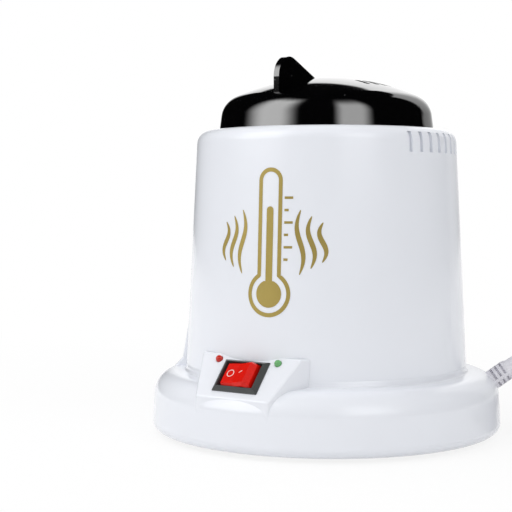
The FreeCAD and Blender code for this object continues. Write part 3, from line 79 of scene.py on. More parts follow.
class Wiring:
    """A node tree that is wired up step by step."""

    def __init__(self, tree: bpy.types.NodeTree) -> None:
        """Takes the tree that the nodes go into."""
        self.tree = tree

    def node(self, kind: str, **props: object) -> bpy.types.Node:
        """Adds a node and sets its properties.

        Args:
            kind: The node's type name.
            props: Properties of the node.

        Returns:
            The new node.
        """
        made = self.tree.nodes.new(kind)
        for key, value in props.items():
            setattr(made, key, value)
        return made

    def feed(self, value: Socket | float | tuple[float, ...], target: Socket) -> None:
        """Links a socket to an input, or sets a plain value on it.

        Args:
            value: The socket or the value.
            target: The input that takes it.
        """
        if isinstance(value, bpy.types.NodeSocket):
            self.tree.links.new(value, target)
        else:
            target.default_value = value

    def maths(self, kind: str, *values: Socket | float) -> Socket:
        """Adds a Math node.

        Args:
            kind: The operation's name.
            values: What its inputs take, in order.

        Returns:
            The result.
        """
        made = self.node("ShaderNodeMath", operation=kind)
        for value, target in zip(values, made.inputs):
            self.feed(value, target)
        return made.outputs[0]

    def mix(self, factor: Socket, first: Socket, second: Socket) -> Socket:
        """Mixes two shaders.

        Args:
            factor: 0 gives the first and 1 the second.
            first: A shader.
            second: A shader.

        Returns:
            The mixed shader.
        """
        made = self.node("ShaderNodeMixShader")
        for value, target in zip((factor, first, second), made.inputs):
            self.feed(value, target)
        return made.outputs[0]

    def ramp(
        self, value: Socket, start: float, end: float,
        least: float = 0.0, most: float = 1.0, smooth: bool = True,
    ) -> Socket:
        """Turns one range of values into another.

        Args:
            value: The value.
            start: Where the range starts, which may be above its end.
            end: Where the range ends.
            least: The result at the start.
            most: The result at the end.
            smooth: Whether it eases in and out.

        Returns:
            The new value.
        """
        kind = "SMOOTHSTEP" if smooth else "LINEAR"
        made = self.node("ShaderNodeMapRange", interpolation_type=kind)
        ends = {"From Min": start, "From Max": end, "To Min": least, "To Max": most}
        for key, number in ends.items():
            made.inputs[key].default_value = number
        self.feed(value, made.inputs["Value"])
        return made.outputs["Result"]


@dataclass(frozen=True)
class Specks:
    """A few tiny pale specks of dust."""

    per_metre: float = 160.0
    radius: float = 0.028
    colour: Colour = (0.35, 0.35, 0.36)


class Recipe(Wiring):
    """One node material, built up from its Principled shader."""

    def __init__(self, name: str) -> None:
        """Starts a material with a Principled shader and Object coordinates.

        Args:
            name: The material's name.
        """
        self.material = bpy.data.materials.new(name)
        self.material.use_nodes = True
        super().__init__(self.material.node_tree)
        self.shader = self.tree.nodes["Principled BSDF"]
        self.place = self.node("ShaderNodeTexCoord").outputs["Object"]

    def set(self, **values: object) -> None:
        """Sets inputs of the Principled shader by name, with _ for a space.

        Args:
            values: The inputs' names and what they hold.
        """
        for key, value in values.items():
            self.shader.inputs[key.replace("_", " ")].default_value = value

    def stretched(self, scale: tuple[float, float, float]) -> Socket:
        """Scales Object coordinates along each axis.

        Args:
            scale: The three factors.

        Returns:
            The scaled coordinates.
        """
        mapping = self.node("ShaderNodeMapping")
        mapping.inputs["Scale"].default_value = scale
        self.feed(self.place, mapping.inputs["Vector"])
        return mapping.outputs["Vector"]

    def noise(self, pitch: float, detail: float, where: Socket | None = None) -> Socket:
        """Adds noise with features of about one pitch.

        Args:
            pitch: The feature size in metres.
            detail: How many finer octaves it has.
            where: The coordinates, or Object coordinates when left out.

        Returns:
            The noise value.
        """
        made = self.node("ShaderNodeTexNoise")
        made.inputs["Scale"].default_value = 1 / pitch
        made.inputs["Detail"].default_value = detail
        self.feed(where or self.place, made.inputs["Vector"])
        return made.outputs["Fac"]

    def waves(self, pitch: float, direction: str, bend: float) -> Socket:
        """Adds evenly spaced bands.

        Args:
            pitch: The distance from band to band in metres.
            direction: X, Y or Z.
            bend: How much noise distorts the bands.

        Returns:
            The band value.
        """
        made = self.node("ShaderNodeTexWave", bands_direction=direction)
        made.inputs["Scale"].default_value = 1 / (pitch * WAVES_PER_METRE)
        made.inputs["Distortion"].default_value = bend
        self.feed(self.place, made.inputs["Vector"])
        return made.outputs["Fac"]

    def between(self, value: Socket, low: float, high: float) -> Socket:
        """Spreads a noise's usual values from low to high."""
        return self.ramp(value, NOISE_LOW, NOISE_HIGH, low, high, smooth=False)

    def blend(self, factor: Socket, first: Colour | Socket, second: Colour) -> Socket:
        """Mixes two colours.

        Args:
            factor: 0 gives the first and 1 the second.
            first: A linear colour, or a socket that gives one.
            second: A linear colour.

        Returns:
            The mixed colour.
        """
        made = self.node("ShaderNodeMix", data_type="RGBA")
        given = isinstance(first, bpy.types.NodeSocket)
        self.feed(first if given else (*first, 1), made.inputs[MIX_FIRST])
        self.feed((*second, 1), made.inputs[MIX_SECOND])
        self.feed(factor, made.inputs[MIX_FACTOR])
        return made.outputs[MIX_RESULT]

    def dusted(self, tone: Socket, specks: Specks) -> Socket:
        """Sprinkles a colour with specks.

        Args:
            tone: The colour underneath.
            specks: Their number, size and colour.

        Returns:
            The colour with its specks.
        """
        cells = self.node("ShaderNodeTexVoronoi")
        cells.inputs["Scale"].default_value = specks.per_metre
        self.feed(self.place, cells.inputs["Vector"])
        near = self.maths("LESS_THAN", cells.outputs["Distance"], specks.radius)
        return self.blend(near, tone, specks.colour)

    def colour(self, source: Socket) -> None:
        """Feeds the shader's colour."""
        self.feed(source, self.shader.inputs["Base Color"])

    def roughness(self, source: Socket) -> None:
        """Feeds the shader's roughness."""
        self.feed(source, self.shader.inputs["Roughness"])

    def relief(self, height: Socket, depth: float, strength: float) -> None:
        """Bumps the surface.

        Args:
            height: The height, from 0 to 1.
            depth: What a height of 1 stands for, in metres.
            strength: How much of it is used.
        """
        bump = self.node("ShaderNodeBump")
        bump.inputs["Strength"].default_value = strength
        bump.inputs["Distance"].default_value = depth
        self.feed(height, bump.inputs["Height"])
        self.feed(bump.outputs["Normal"], self.shader.inputs["Normal"])


def shade(colour: Colour, factor: float) -> Colour:
    """Makes a colour darker or lighter by a factor."""
    return tuple(min(1.0, part * factor) for part in colour)


@dataclass(frozen=True)
class Moulding:
    """Moulded plastic, rubber or resin."""

    name: str
    colour: Colour
    gloss: float
    grain: Grain = Grain.PEEL
    ior: float = 1.46
    cloud: float = 0.03
    specks: Specks | None = None

    def make(self) -> bpy.types.Material:
        """Builds the material.

        Returns:
            The material.
        """
        recipe = Recipe(self.name)
        mottling = recipe.noise(0.03, 2)
        low, high = 1 - self.cloud, 1 + self.cloud
        tone = recipe.blend(mottling, shade(self.colour, low), shade(self.colour, high))
        recipe.colour(recipe.dusted(tone, self.specks) if self.specks else tone)
        recipe.set(IOR=self.ior)
        handling = recipe.noise(0.012, 4)
        recipe.roughness(recipe.between(handling, self.gloss * 0.85, self.gloss * 1.2))
        pitch, octaves, depth, strength = self.grain.value
        recipe.relief(recipe.noise(pitch, octaves), depth, strength)
        return recipe.material


@dataclass(frozen=True)
class Metal:
    """Drawn, rolled or plated metal."""

    name: str
    colour: Colour
    gloss: float
    lines: tuple[float, float, float] = (1.0, 1.0, 20.0)
    tint: Colour | None = None

    def make(self) -> bpy.types.Material:
        """Builds the material.

        Returns:
            The material.
        """
        recipe = Recipe(self.name)
        recipe.set(Metallic=1.0)
        drawn = recipe.noise(0.004, 4, recipe.stretched(self.lines))
        patches = recipe.noise(0.015, 3)
        other = self.tint or shade(self.colour, 0.82)
        recipe.colour(recipe.blend(patches, other, shade(self.colour, 1.1)))
        recipe.roughness(recipe.between(drawn, self.gloss * 0.75, self.gloss * 1.35))
        recipe.relief(drawn, 0.00002, 0.5)
        return recipe.material


@dataclass(frozen=True)
class Woven:
    """Glass-fibre cloth."""

    name: str
    colour: Colour
    pitch: float = 0.0018

    def make(self) -> bpy.types.Material:
        """Builds the material.

        Returns:
            The material.
        """
        recipe = Recipe(self.name)
        recipe.set(Roughness=0.9, Sheen_Weight=0.3, Sheen_Roughness=0.5)
        weft, warp = (recipe.waves(self.pitch, way, 0.6) for way in "ZX")
        product = recipe.maths("MULTIPLY", weft, warp)
        recipe.colour(recipe.blend(product, shade(self.colour, 0.72), self.colour))
        recipe.relief(product, 0.0004, 0.7)
        return recipe.material


@dataclass(frozen=True)
class Lens:
    """Tinted resin, clear or not, that may glow a little from behind."""

    name: str
    colour: Colour
    glow: float = 0.0
    clear: float = 0.15
    gloss: float = 0.12
    ior: float = 1.5

    def make(self) -> bpy.types.Material:
        """Builds the material.

        Returns:
            The material.
        """
        recipe = Recipe(self.name)
        depth = recipe.noise(0.0012, 2)
        recipe.colour(recipe.blend(depth, shade(self.colour, 0.8), shade(self.colour, 1.15)))
        recipe.set(Roughness=self.gloss, IOR=self.ior, Transmission_Weight=self.clear)
        recipe.set(Emission_Color=(*self.colour, 1), Emission_Strength=self.glow)
        recipe.relief(recipe.noise(0.002, 1), 0.00001, 0.4)
        return recipe.material


@dataclass(frozen=True)
class GoldInk:
    """Metallic printing ink with fine flakes."""

    name: str = "print_gold"
    colour: Colour = (0.37, 0.28, 0.072)

    def make(self) -> bpy.types.Material:
        """Builds the material.

        Returns:
            The material.
        """
        recipe = Recipe(self.name)
        flakes = recipe.noise(0.0005, 4)
        drift = recipe.noise(0.02, 2)
        recipe.colour(recipe.blend(drift, shade(self.colour, 0.9), shade(self.colour, 1.12)))
        recipe.set(Metallic=0.35)
        recipe.roughness(recipe.between(flakes, 0.32, 0.5))
        recipe.relief(flakes, 0.00003, 0.5)
        return recipe.material


EVEN = (1.0, 1.0, 1.0)

FINISHES = {
    finish.name: finish
    for finish in (
        Moulding("housing_white", (0.80, 0.82, 0.87), 0.17, Grain.PEEL, ior=1.5, cloud=0.008),
        Moulding("cover_grey", (0.62, 0.64, 0.66), 0.45, Grain.SPARK),
        Moulding(
            "lid_black", (0.0006, 0.0006, 0.0008), 0.07, Grain.POLISHED, ior=2.1, specks=Specks()
        ),
        Moulding("ring_resin", (0.035, 0.028, 0.024), 0.5, Grain.SPARK),
        Metal("pot_steel", (0.62, 0.61, 0.59), 0.22),
        Metal("heater_steel", (0.40, 0.36, 0.31), 0.4, tint=(0.30, 0.20, 0.14)),
        Metal("sheet_steel", (0.55, 0.56, 0.57), 0.3),
        Metal("screw_steel", (0.60, 0.60, 0.58), 0.25, EVEN),
        Woven("glass_wool", (0.72, 0.69, 0.62)),
        Moulding("thermostat_body", (0.72, 0.66, 0.54), 0.5, Grain.SPARK),
        Moulding("fuse_case", (0.70, 0.66, 0.56), 0.55, Grain.SPARK),
        Moulding("bezel_dark", (0.050, 0.053, 0.053), 0.30),
        Metal("terminal_brass", (0.62, 0.46, 0.20), 0.28),
        Lens("rocker_red", (0.68, 0.008, 0.003), clear=0.0, gloss=0.2, ior=1.35),
        Lens("lamp_red", (0.62, 0.025, 0.012), glow=0.03, gloss=0.08),
        Lens("lamp_green", (0.16, 0.48, 0.17), glow=0.02, gloss=0.08),
        Moulding("board_green", (0.02, 0.15, 0.05), 0.4, Grain.SPARK),
        Moulding("block_white", (0.70, 0.70, 0.67), 0.45, Grain.SPARK),
        Moulding("foot_rubber", (0.02, 0.02, 0.02), 0.75, Grain.SPARK),
        Moulding("relief_grey", (0.78, 0.77, 0.82), 0.40, Grain.POLISHED),
        Moulding("cord_jacket", (0.64, 0.64, 0.68), 0.36),
        Moulding("tie_black", (0.015, 0.015, 0.015), 0.5, Grain.SPARK),
        Moulding("plug_moulding", (0.64, 0.64, 0.68), 0.40, Grain.SPARK),
        Metal("pin_nickel", (0.62, 0.60, 0.56), 0.18, EVEN),
        GoldInk(),
        # near-black and barely reflective: painted shade for the dark inside the lid's vent holes
        Moulding("vent_painted_shade", (0.004, 0.004, 0.004), 0.9, Grain.SPARK, ior=1.06),
        Moulding("mark_white", (0.80, 0.66, 0.63), 0.4),
    )
}

# Which CAD nodes have which finish
WEARERS = {
    "housing_white": ("base_shell", "drum_shell"),
    "cover_grey": ("bottom_cover",),
    "lid_black": ("lid",),
    "ring_resin": ("insulating_ring",),
    "pot_steel": ("pot",),
    "heater_steel": ("band_heater",),
    "screw_steel": ("heater_bolt", "ring_screws", "ring_nuts", "cover_screws", "drum_screws"),
    "glass_wool": ("insulation_wrap",),
    "sheet_steel": ("heat_shield", "thermostat_bracket"),
    "thermostat_body": ("thermostat",),
    "fuse_case": ("thermal_fuse",),
    "bezel_dark": ("switch_body",),
    "terminal_brass": ("switch_terminals",),
    "rocker_red": ("rocker",),
    "lamp_red": ("red_lamp",),
    "lamp_green": ("green_lamp",),
    "board_green": ("lamp_board",),
    "block_white": ("terminal_block",),
    "foot_rubber": ("foot_front_left", "foot_front_right", "foot_rear_left", "foot_rear_right"),
    "relief_grey": ("strain_relief",),
    "cord_jacket": ("mains_cord", "cord_coil"),
    "tie_black": ("cord_tie",),
    "plug_moulding": ("plug_body",),
    "pin_nickel": ("plug_pins",),
}


class Palette:
    """The finishes, each made once."""

    def __init__(self) -> None:
        """Starts with no material made."""
        self.made: dict[str, bpy.types.Material] = {}

    def get(self, name: str) -> bpy.types.Material:
        """Finds a finish's material, and makes it the first time.

        Args:
            name: The finish's name.

        Returns:
            The material.
        """
        if name not in self.made:
            self.made[name] = FINISHES[name].make()
        return self.made[name]

    def dress_nodes(self) -> None:
        """Gives every CAD node its finish."""
        wearing = {node: finish for finish, nodes in WEARERS.items() for node in nodes}
        for name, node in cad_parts.items():
            for holder in node.material_slots:
                holder.material = self.get(wearing[name])
            LOG.info("%s: %s", name, wearing[name])


def finished(
    shape: bmesh.types.BMesh,
    name: str,
    material: bpy.types.Material,
    smooth: float,
    place: Matrix | None = None,
) -> bpy.types.Object:
    """Turns a closed bmesh in millimetres into an object at the origin.

    Args:
        shape: The bmesh, which is freed.
        name: The object's name.
        material: What it is made of.
        smooth: Edges sharper than this angle in degrees stay sharp.
        place: Where the mesh goes, in metres.

    Returns:
        The object.
    """
    bmesh.ops.remove_doubles(shape, verts=shape.verts, dist=MERGE)
    bmesh.ops.recalc_face_normals(shape, faces=shape.faces)
    bmesh.ops.transform(shape, matrix=(place or Matrix()) @ Matrix.Scale(MM, 4), verts=shape.verts)
    mesh = bpy.data.meshes.new(name)
    shape.to_mesh(mesh)
    shape.free()
    mesh.materials.append(material)
    mesh.shade_smooth()
    mesh.set_sharp_from_angle(angle=math.radians(smooth))
    made = bpy.data.objects.new(name, mesh)
    bpy.context.scene.collection.objects.link(made)
    LOG.info("%s: %d faces", name, len(mesh.polygons))
    return made


def turned(profile: Profile, steps: int) -> bmesh.types.BMesh:
    """Turns a profile about Z.

    Args:
        profile: Radius and height of each point, in millimetres.
        steps: How many sides a circle has.

    Returns:
        The bmesh.
    """
    shape = bmesh.new()
    points = [shape.verts.new((radius, 0, height)) for radius, height in profile]
    edges = [shape.edges.new(pair) for pair in zip(points, points[1:])]
    bmesh.ops.spin(
        shape,
        geom=points + edges,
        cent=(0, 0, 0),
        axis=(0, 0, 1),
        angle=2 * math.pi,
        steps=steps,
        use_merge=True,
    )
    return shape


def panel_place(out: float) -> Matrix:
    """A frame in the middle of the sloping panel, its Z the panel's normal.

    Args:
        out: Millimetres out of the panel.

    Returns:
        The frame's matrix.
    """
    base = Matrix.Translation((0, PANEL_Y, PANEL_Z)) @ Matrix.Rotation(PANEL_TILT, 4, "X")
    return base @ Matrix.Translation((0, 0, out * MM))


@dataclass
class Camera:
    """The photograph's viewpoint."""

    place: Point = (0.28304, -0.48437, 0.103)
    turn: tuple[float, float, float] = (87.44, 0.0, 33.5)
    lens: float = 87.9
    sensor: float = 36.0
    nearest: float = 0.01

    def build(self) -> None:
        """Creates the camera and makes it the scene's."""
        data = bpy.data.cameras.new("camera")
        data.lens = self.lens
        data.sensor_width = self.sensor
        data.clip_start = self.nearest
        eye = bpy.data.objects.new("camera", data)
        eye.location = self.place
        eye.rotation_euler = [math.radians(angle) for angle in self.turn]
        bpy.context.scene.collection.objects.link(eye)
        bpy.context.scene.camera = eye


@dataclass(frozen=True)
class Crossing:
    """A stretch of the coil, in degrees wound, over which it moves to another radius."""

    start: float
    end: float
    radius: float
    sinks: bool = False


@dataclass
class MainsCord:
    """The free cord: its route to the bench and its coil."""

    route: tuple[Point, ...] = (
        (83.90, 48.44, 38.83),
        (95.89, 55.36, 48.70),
        (110.00, 65.24, 52.00),
        (122.98, 77.35, 47.00),
        (131.60, 89.83, 34.00),
        (136.89, 101.66, 19.50),
        (137.87, 115.97, 11.00),
        (135.01, 129.91, 8.20),
    )
    length: float = 1.12
    radius: float = 3.0
    coil_centre: tuple[float, float] = (99.745, 122.695)
    coil_start: float = 11.565
    first_radius: float = 36.0
    crossings: tuple[Crossing, ...] = (
        Crossing(300, 360, 30.0),
        Crossing(660, 720, 27.0, sinks=True),
        Crossing(960, 1020, 33.0),
        Crossing(1320, 1380, 39.0),
    )
    top_height: float = 8.2
    top_end: float = 660.0
    hump_start: float = 240.0
    hump_height: float = 0.8
    rise_start: float = 1580.0
    rise_share: float = 0.62
    winding_end: float = 1638.4
    step: float = 22.5
    plug_height: float = 6.85
    plug_reach: tuple[float, ...] = (14.0, 22.0, 30.0)

    def winding(self, turn: float) -> tuple[float, float]:
        """Radius and height of the coil's turns.

        Args:
            turn: Degrees wound so far.

        Returns:
            The radius and the height in millimetres.
        """
        radius = self.first_radius
        height = self.top_height
        for crossing in self.crossings:
            share = (turn - crossing.start) / (crossing.end - crossing.start)
            share = min(1.0, max(0.0, share))
            eased = share * share * (3 - 2 * share)
            radius += (crossing.radius - radius) * eased
            if crossing.sinks:
                height += (self.radius - height) * eased
        here = turn % 360
        if turn < self.top_end and here > self.hump_start:
            share = (here - self.hump_start) / (360 - self.hump_start)
            height += self.hump_height * math.sin(math.pi * share)
        rise = (turn - self.rise_start) / (self.winding_end - self.rise_start)
        rise = min(1.0, max(0.0, rise))
        height += (self.plug_height - self.radius) * self.rise_share * rise * rise
        return radius, height

    def coil_point(self, turn: float) -> Point:
        """A point of the coil.

        Args:
            turn: Degrees wound so far.

        Returns:
            The point in millimetres.
        """
        radius, height = self.winding(turn)
        angle = math.radians(self.coil_start + turn)
        x = self.coil_centre[0] + radius * math.cos(angle)
        y = self.coil_centre[1] + radius * math.sin(angle)
        return x, y, height

    def points(self) -> list[Point]:
        """Control points of the whole cord.

        Returns:
            The points in millimetres.
        """
        points = list(self.route)
        turn = self.step
        while turn < self.winding_end - self.step / 2:
            points.append(self.coil_point(turn))
            turn += self.step
        last = self.coil_point(self.winding_end)
        points.append(last)
        heading = math.radians(self.coil_start + self.winding_end + 90)
        for reach in self.plug_reach:
            x = last[0] + math.cos(heading) * reach
            y = last[1] + math.sin(heading) * reach
            points.append((x, y, self.plug_height))
        return points

    def build(self, palette: Palette) -> bpy.types.Object:
        """Makes the cord.

        Args:
            palette: The finishes.

        Returns:
            The cord.
        """
        curve = bpy.data.curves.new("mains_lead", "CURVE")
        curve.dimensions = "3D"
        spline = curve.splines.new("NURBS")
        points = self.points()
        spline.points.add(len(points) - 1)
        for place, target in zip(points, spline.points):
            target.co = (*(part * MM for part in place), 1)
        spline.order_u = 3
        spline.use_endpoint_u = True
        spline.resolution_u = 6
        curve.bevel_depth = self.radius * MM
        curve.bevel_resolution = 5
        curve.use_fill_caps = True
        curve.materials.append(palette.get("cord_jacket"))
        lead = bpy.data.objects.new("mains_lead", curve)
        bpy.context.scene.collection.objects.link(lead)
        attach(lead, BODY)
        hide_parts("mains_cord", "cord_coil")
        LOG.info("mains_lead: %d points", len(points))
        return lead


@dataclass
class StrainRelief:
    """The slotted sleeve where the cord leaves the shoulder of the foot."""

    surface: Point = (64.8656, 37.4502, 23.1502)
    heading: float = 30.0
    slope: float = 35.5
    radius: float = 4.5
    root: Profile = ((0.0, -7.0), (5.7, -7.0), (5.7, -5.0), (3.9, -5.0), (3.9, -1.0), (4.5, -1.0))
    tail: Profile = (
        (4.5, 7.2), (4.35, 7.9), (3.9, 9.0), (3.75, 9.8), (3.5, 26.4), (3.2, 27.0), (0.0, 27.0),
    )
    slots: tuple[float, ...] = (0.6, 2.95, 5.3)
    slot_width: float = 1.0
    slot_depth: float = 1.3
    arcs: tuple[tuple[float, float], ...] = ((12, 148), (170, 270), (292, 347))
    steps: int = 90

    def build(self, palette: Palette) -> bpy.types.Object:
        """Makes the sleeve with its rows of slots.

        Args:
            palette: The finishes.

        Returns:
            The sleeve.
        """
        ends = [start + share for start in self.slots for share in (0, self.slot_width)]
        profile = (*self.root, *((self.radius, end) for end in ends), *self.tail)
        shape = turned(profile, self.steps)
        bmesh.ops.remove_doubles(shape, verts=shape.verts, dist=MERGE)
        bmesh.ops.recalc_face_normals(shape, faces=shape.faces)
        self.sink(shape)
        place = Matrix.Translation([part * MM for part in self.surface])
        place @= Matrix.Rotation(math.radians(self.heading), 4, "Z")
        place @= Matrix.Rotation(math.radians(90 - self.slope), 4, "Y")
        sleeve = finished(shape, "relief_sleeve", palette.get("relief_grey"), 28, place)
        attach(sleeve, BODY)
        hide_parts("strain_relief")
        return sleeve

    def sink(self, shape: bmesh.types.BMesh) -> None:
        """Sinks the slots of each row along their arcs.

        Args:
            shape: The sleeve's bmesh, its axis on Z.
        """
        share = 1 - self.slot_depth / self.radius
        for start in self.slots:
            faces = []
            for face in shape.faces:
                middle = face.calc_center_median()
                turn = math.degrees(math.atan2(middle.y, middle.x)) % 360
                inside = start < middle.z < start + self.slot_width
                if inside and any(first < turn < last for first, last in self.arcs):
                    faces.append(face)
            sunk = bmesh.ops.extrude_face_region(shape, geom=faces)["geom"]
            for part in sunk:
                if isinstance(part, bmesh.types.BMVert):
                    part.co.x *= share
                    part.co.y *= share
            left = [face for face in faces if face.is_valid]
            bmesh.ops.delete(shape, geom=left, context="FACES_ONLY")


@dataclass
class DrumTrim:
    """The white ring in the joint at the drum's foot and the lining behind its side slots."""

    joint: Profile = (
        (60.8, 28.1), (63.5, 27.64), (63.0, 27.95), (62.7, 28.4),
        (62.5, 29.2), (62.4, 30.3), (62.1, 30.6), (61.4, 30.2),
    )
    lining: Profile = (
        (56.35, 122.3), (56.1, 127.5), (55.8, 129.0), (54.8, 131.2),
        (54.5, 131.0), (55.4, 128.8), (55.8, 127.4), (56.0, 122.3),
    )
    steps: int = 128

    def build(self, palette: Palette) -> None:
        """Makes both rings.

        Args:
            palette: The finishes.
        """
        white = palette.get("housing_white")
        for name, profile in (("joint_ring", self.joint), ("slot_lining", self.lining)):
            ring = finished(turned((*profile, profile[0]), self.steps), name, white, 40)
            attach(ring, BODY)


@dataclass
class VentPaintedShade:
    """Near-black strips laid just proud of the crown over the lid's slots, painted shade for the
    dark inside the vent holes.
    """

    count: int = 5
    pitch: float = 11.3
    inner: float = 21.9
    outer: float = 29.6
    half_width: float = 1.05
    crown_radius: float = 102.0
    crown_middle: float = 55.0
    proud: float = 0.05
    thickness: float = 0.6

    def build(self, palette: Palette) -> None:
        """Makes all strips as one piece.

        Args:
            palette: The finishes.
        """
        shape = bmesh.new()
        span = self.pitch * (self.count - 1)
        length = self.outer - self.inner
        for middle in (0, 180):
            for number in range(self.count):
                turn = math.radians(middle - span / 2 + number * self.pitch)
                place = Matrix.Rotation(turn, 4, "Z")
                place @= Matrix.Translation(((self.inner + self.outer) / 2, 0, 0))
                place @= Matrix.Diagonal((length / 2, self.half_width, 1, 1))
                bmesh.ops.create_grid(shape, x_segments=8, y_segments=2, size=1, matrix=place)
        for vert in shape.verts:
            away = vert.co.x**2 + vert.co.y**2
            vert.co.z = self.crown_middle + math.sqrt(self.crown_radius**2 - away) + self.proud
        flat = shape.faces[:]
        bmesh.ops.solidify(shape, geom=flat, thickness=self.thickness)
        # the strips are painted shade over the lid's vent slots
        painted_shade = finished(shape, "vent_painted_shade", palette.get("vent_painted_shade"), 40)
        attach(painted_shade, BODY)


@dataclass
class HeatPrint:
    """A printed heat gauge with rising waves on the front of the drum."""

    middle: float = -82.2
    height: float = 87.0
    foot_radius: float = 62.5
    foot_height: float = 28.0
    taper: float = 5.3 / 105.6
    proud: float = 0.06
    line: float = 1.7
    bulb: float = -22.0
    bulb_outline: float = 8.6
    bulb_radius: float = 5.6
    bulb_top: float = 5.2
    neck_start: float = 121.0
    neck_sweep: float = 298.0
    tube: float = 4.4
    tube_levels: tuple[float, ...] = (10.0, 20.0, 30.0, 40.0)
    tube_top: float = 46.0
    column: float = 1.5
    column_top: float = 34.0
    marks: tuple[float, ...] = (3.6, 5.4, 3.6, 5.4, 3.6, 5.4)
    marks_from: float = 1.8
    marks_foot: float = 14.0
    marks_pitch: float = 5.0
    marks_width: float = 1.0
    waves: int = 3
    wave_across: tuple[float, float] = (13.0, 4.6)
    wave_foot: tuple[float, float] = (-14.0, 2.5)
    wave_reach: tuple[float, float] = (26.0, -5.0)
    wave_sway: float = 1.5
    wave_widths: tuple[float, float, float] = (0.35, 1.75, 0.7)
    row: float = 1.5
    rows: int = 24

    def ribbon(
        self, shape: bmesh.types.BMesh, line: list[tuple[float, float]], widths: list[float]
    ) -> None:
        """Adds a ribbon along a line in the flat layout.

        Args:
            shape: The bmesh that takes it.
            line: Points across and up, in millimetres.
            widths: The ribbon's width at each point.
        """
        rails = []
        for number, point in enumerate(line):
            before = Vector(line[max(0, number - 1)])
            after = Vector(line[min(len(line) - 1, number + 1)])
            along = (after - before).normalized()
            side = Vector((-along.y, along.x)) * widths[number] / 2
            rails.append([shape.verts.new((*(Vector(point) + side * way), 0)) for way in (-1, 1)])
        for low, high in zip(rails, rails[1:]):
            shape.faces.new((low[0], low[1], high[1], high[0]))

    def bar(
        self, shape: bmesh.types.BMesh,
        start: tuple[float, float], end: tuple[float, float], width: float,
    ) -> None:
        """Adds a straight bar in the flat layout, in rows short enough to bend.

        Args:
            shape: The bmesh that takes it.
            start: Its first end, across and up, in millimetres.
            end: Its other end.
            width: Its width.
        """
        along = Vector(end) - Vector(start)
        rows = max(2, int(along.length / self.row))
        line = [Vector(start) + along * number / rows for number in range(rows + 1)]
        self.ribbon(shape, line, [width] * len(line))

    def disc(self, shape: bmesh.types.BMesh, level: float, radius: float, top: float) -> None:
        """Adds a disc in narrow level rows, so that it can bend round the drum.

        Args:
            shape: The bmesh that takes it.
            level: The height of its middle.
            radius: Its radius.
            top: How far above its middle it is cut off level.
        """
        marks = []
        for number in range(self.rows + 1):
            height = min(-math.cos(math.pi * number / self.rows) * radius, top)
            half = math.sqrt(max(0.0, radius**2 - height**2))
            across = [half * share / 3 for share in range(-3, 4)]
            marks.append([shape.verts.new((x, level + height, 0)) for x in across])
            if height >= top:
                break
        for low, high in zip(marks, marks[1:]):
            for number in range(len(low) - 1):
                shape.faces.new((low[number], low[number + 1], high[number + 1], high[number]))

    def arc(
        self, level: float, radius: float, start: float, sweep: float, steps: int
    ) -> list[tuple[float, float]]:
        """Points along an arc whose middle is on the gauge's centre line.

        Args:
            level: The height of its middle.
            radius: Its radius.
            start: Where it starts, in degrees from the right.
            sweep: How many degrees it turns.
            steps: How many steps it has.

        Returns:
            The points, across and up.
        """
        turns = [math.radians(start + sweep * number / steps) for number in range(steps + 1)]
        return [(radius * math.cos(turn), level + radius * math.sin(turn)) for turn in turns]

    def draw_gauge(self, shape: bmesh.types.BMesh) -> None:
        """Draws an outlined tube with a filled bulb, a column with a rounded top, and marks.

        Args:
            shape: The bmesh that takes it.
        """
        ring = self.arc(self.bulb, self.bulb_outline, self.neck_start, self.neck_sweep, 48)
        right = [(self.tube, self.bulb + level) for level in self.tube_levels]
        top = self.arc(self.bulb + self.tube_top, self.tube, 0, 180, 16)
        left = [(-x, y) for x, y in reversed(right)]
        line = [*ring, *right, *top, *left, *ring[:2]]
        self.ribbon(shape, line, [self.line] * len(line))
        self.disc(shape, self.bulb, self.bulb_radius, self.bulb_top)
        column_top = self.bulb + self.column_top
        self.bar(shape, (0, self.bulb + self.bulb_top), (0, column_top), 2 * self.column)
        self.disc(shape, column_top, self.column, self.column + self.row)
        for number, reach in enumerate(self.marks):
            level = self.bulb + self.marks_foot + number * self.marks_pitch
            start = (self.tube + self.marks_from, level)
            self.bar(shape, start, (self.tube + reach, level), self.marks_width)

    def draw_waves(self, shape: bmesh.types.BMesh) -> None:
        """Draws rising waves of heat on both sides, each shorter than the one before.

        Args:
            shape: The bmesh that takes them.
        """
        thin, swell, power = self.wave_widths
        for side in (-1, 1):
            for number in range(self.waves):
                across, foot, reach = (
                    first + number * change
                    for first, change in (self.wave_across, self.wave_foot, self.wave_reach)
                )
                wave = []
                widths = []
                for step in range(self.rows + 1):
                    share = step / self.rows
                    sway = self.wave_sway * math.sin(share * 2 * math.pi)
                    wave.append((side * (across + sway), foot + reach * share))
                    widths.append(thin + swell * math.sin(math.pi * share) ** power)
                self.ribbon(shape, wave, widths)

    def build(self, palette: Palette) -> None:
        """Wraps the flat print round the drum.

        Args:
            palette: The finishes.
        """
        shape = bmesh.new()
        self.draw_gauge(shape)
        self.draw_waves(shape)
        bmesh.ops.remove_doubles(shape, verts=shape.verts, dist=MERGE)
        bmesh.ops.dissolve_degenerate(shape, dist=MERGE, edges=shape.edges)
        for vert in shape.verts:
            z = self.height + vert.co.y
            radius = self.foot_radius - (z - self.foot_height) * self.taper + self.proud
            angle = math.radians(self.middle) + vert.co.x / radius
            vert.co = (radius * math.cos(angle), radius * math.sin(angle), z)
        shape.normal_update()
        for face in shape.faces:
            middle = face.calc_center_median()
            if face.normal.dot(Vector((middle.x, middle.y, 0))) < 0:
                face.normal_flip()
        bmesh.ops.transform(shape, matrix=Matrix.Scale(MM, 4), verts=shape.verts)
        mesh = bpy.data.meshes.new("heat_print")
        shape.to_mesh(mesh)
        shape.free()
        mesh.materials.append(palette.get("print_gold"))
        made = bpy.data.objects.new("heat_print", mesh)
        bpy.context.scene.collection.objects.link(made)
        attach(made, BODY)
        LOG.info("heat_print: %d faces", len(mesh.polygons))


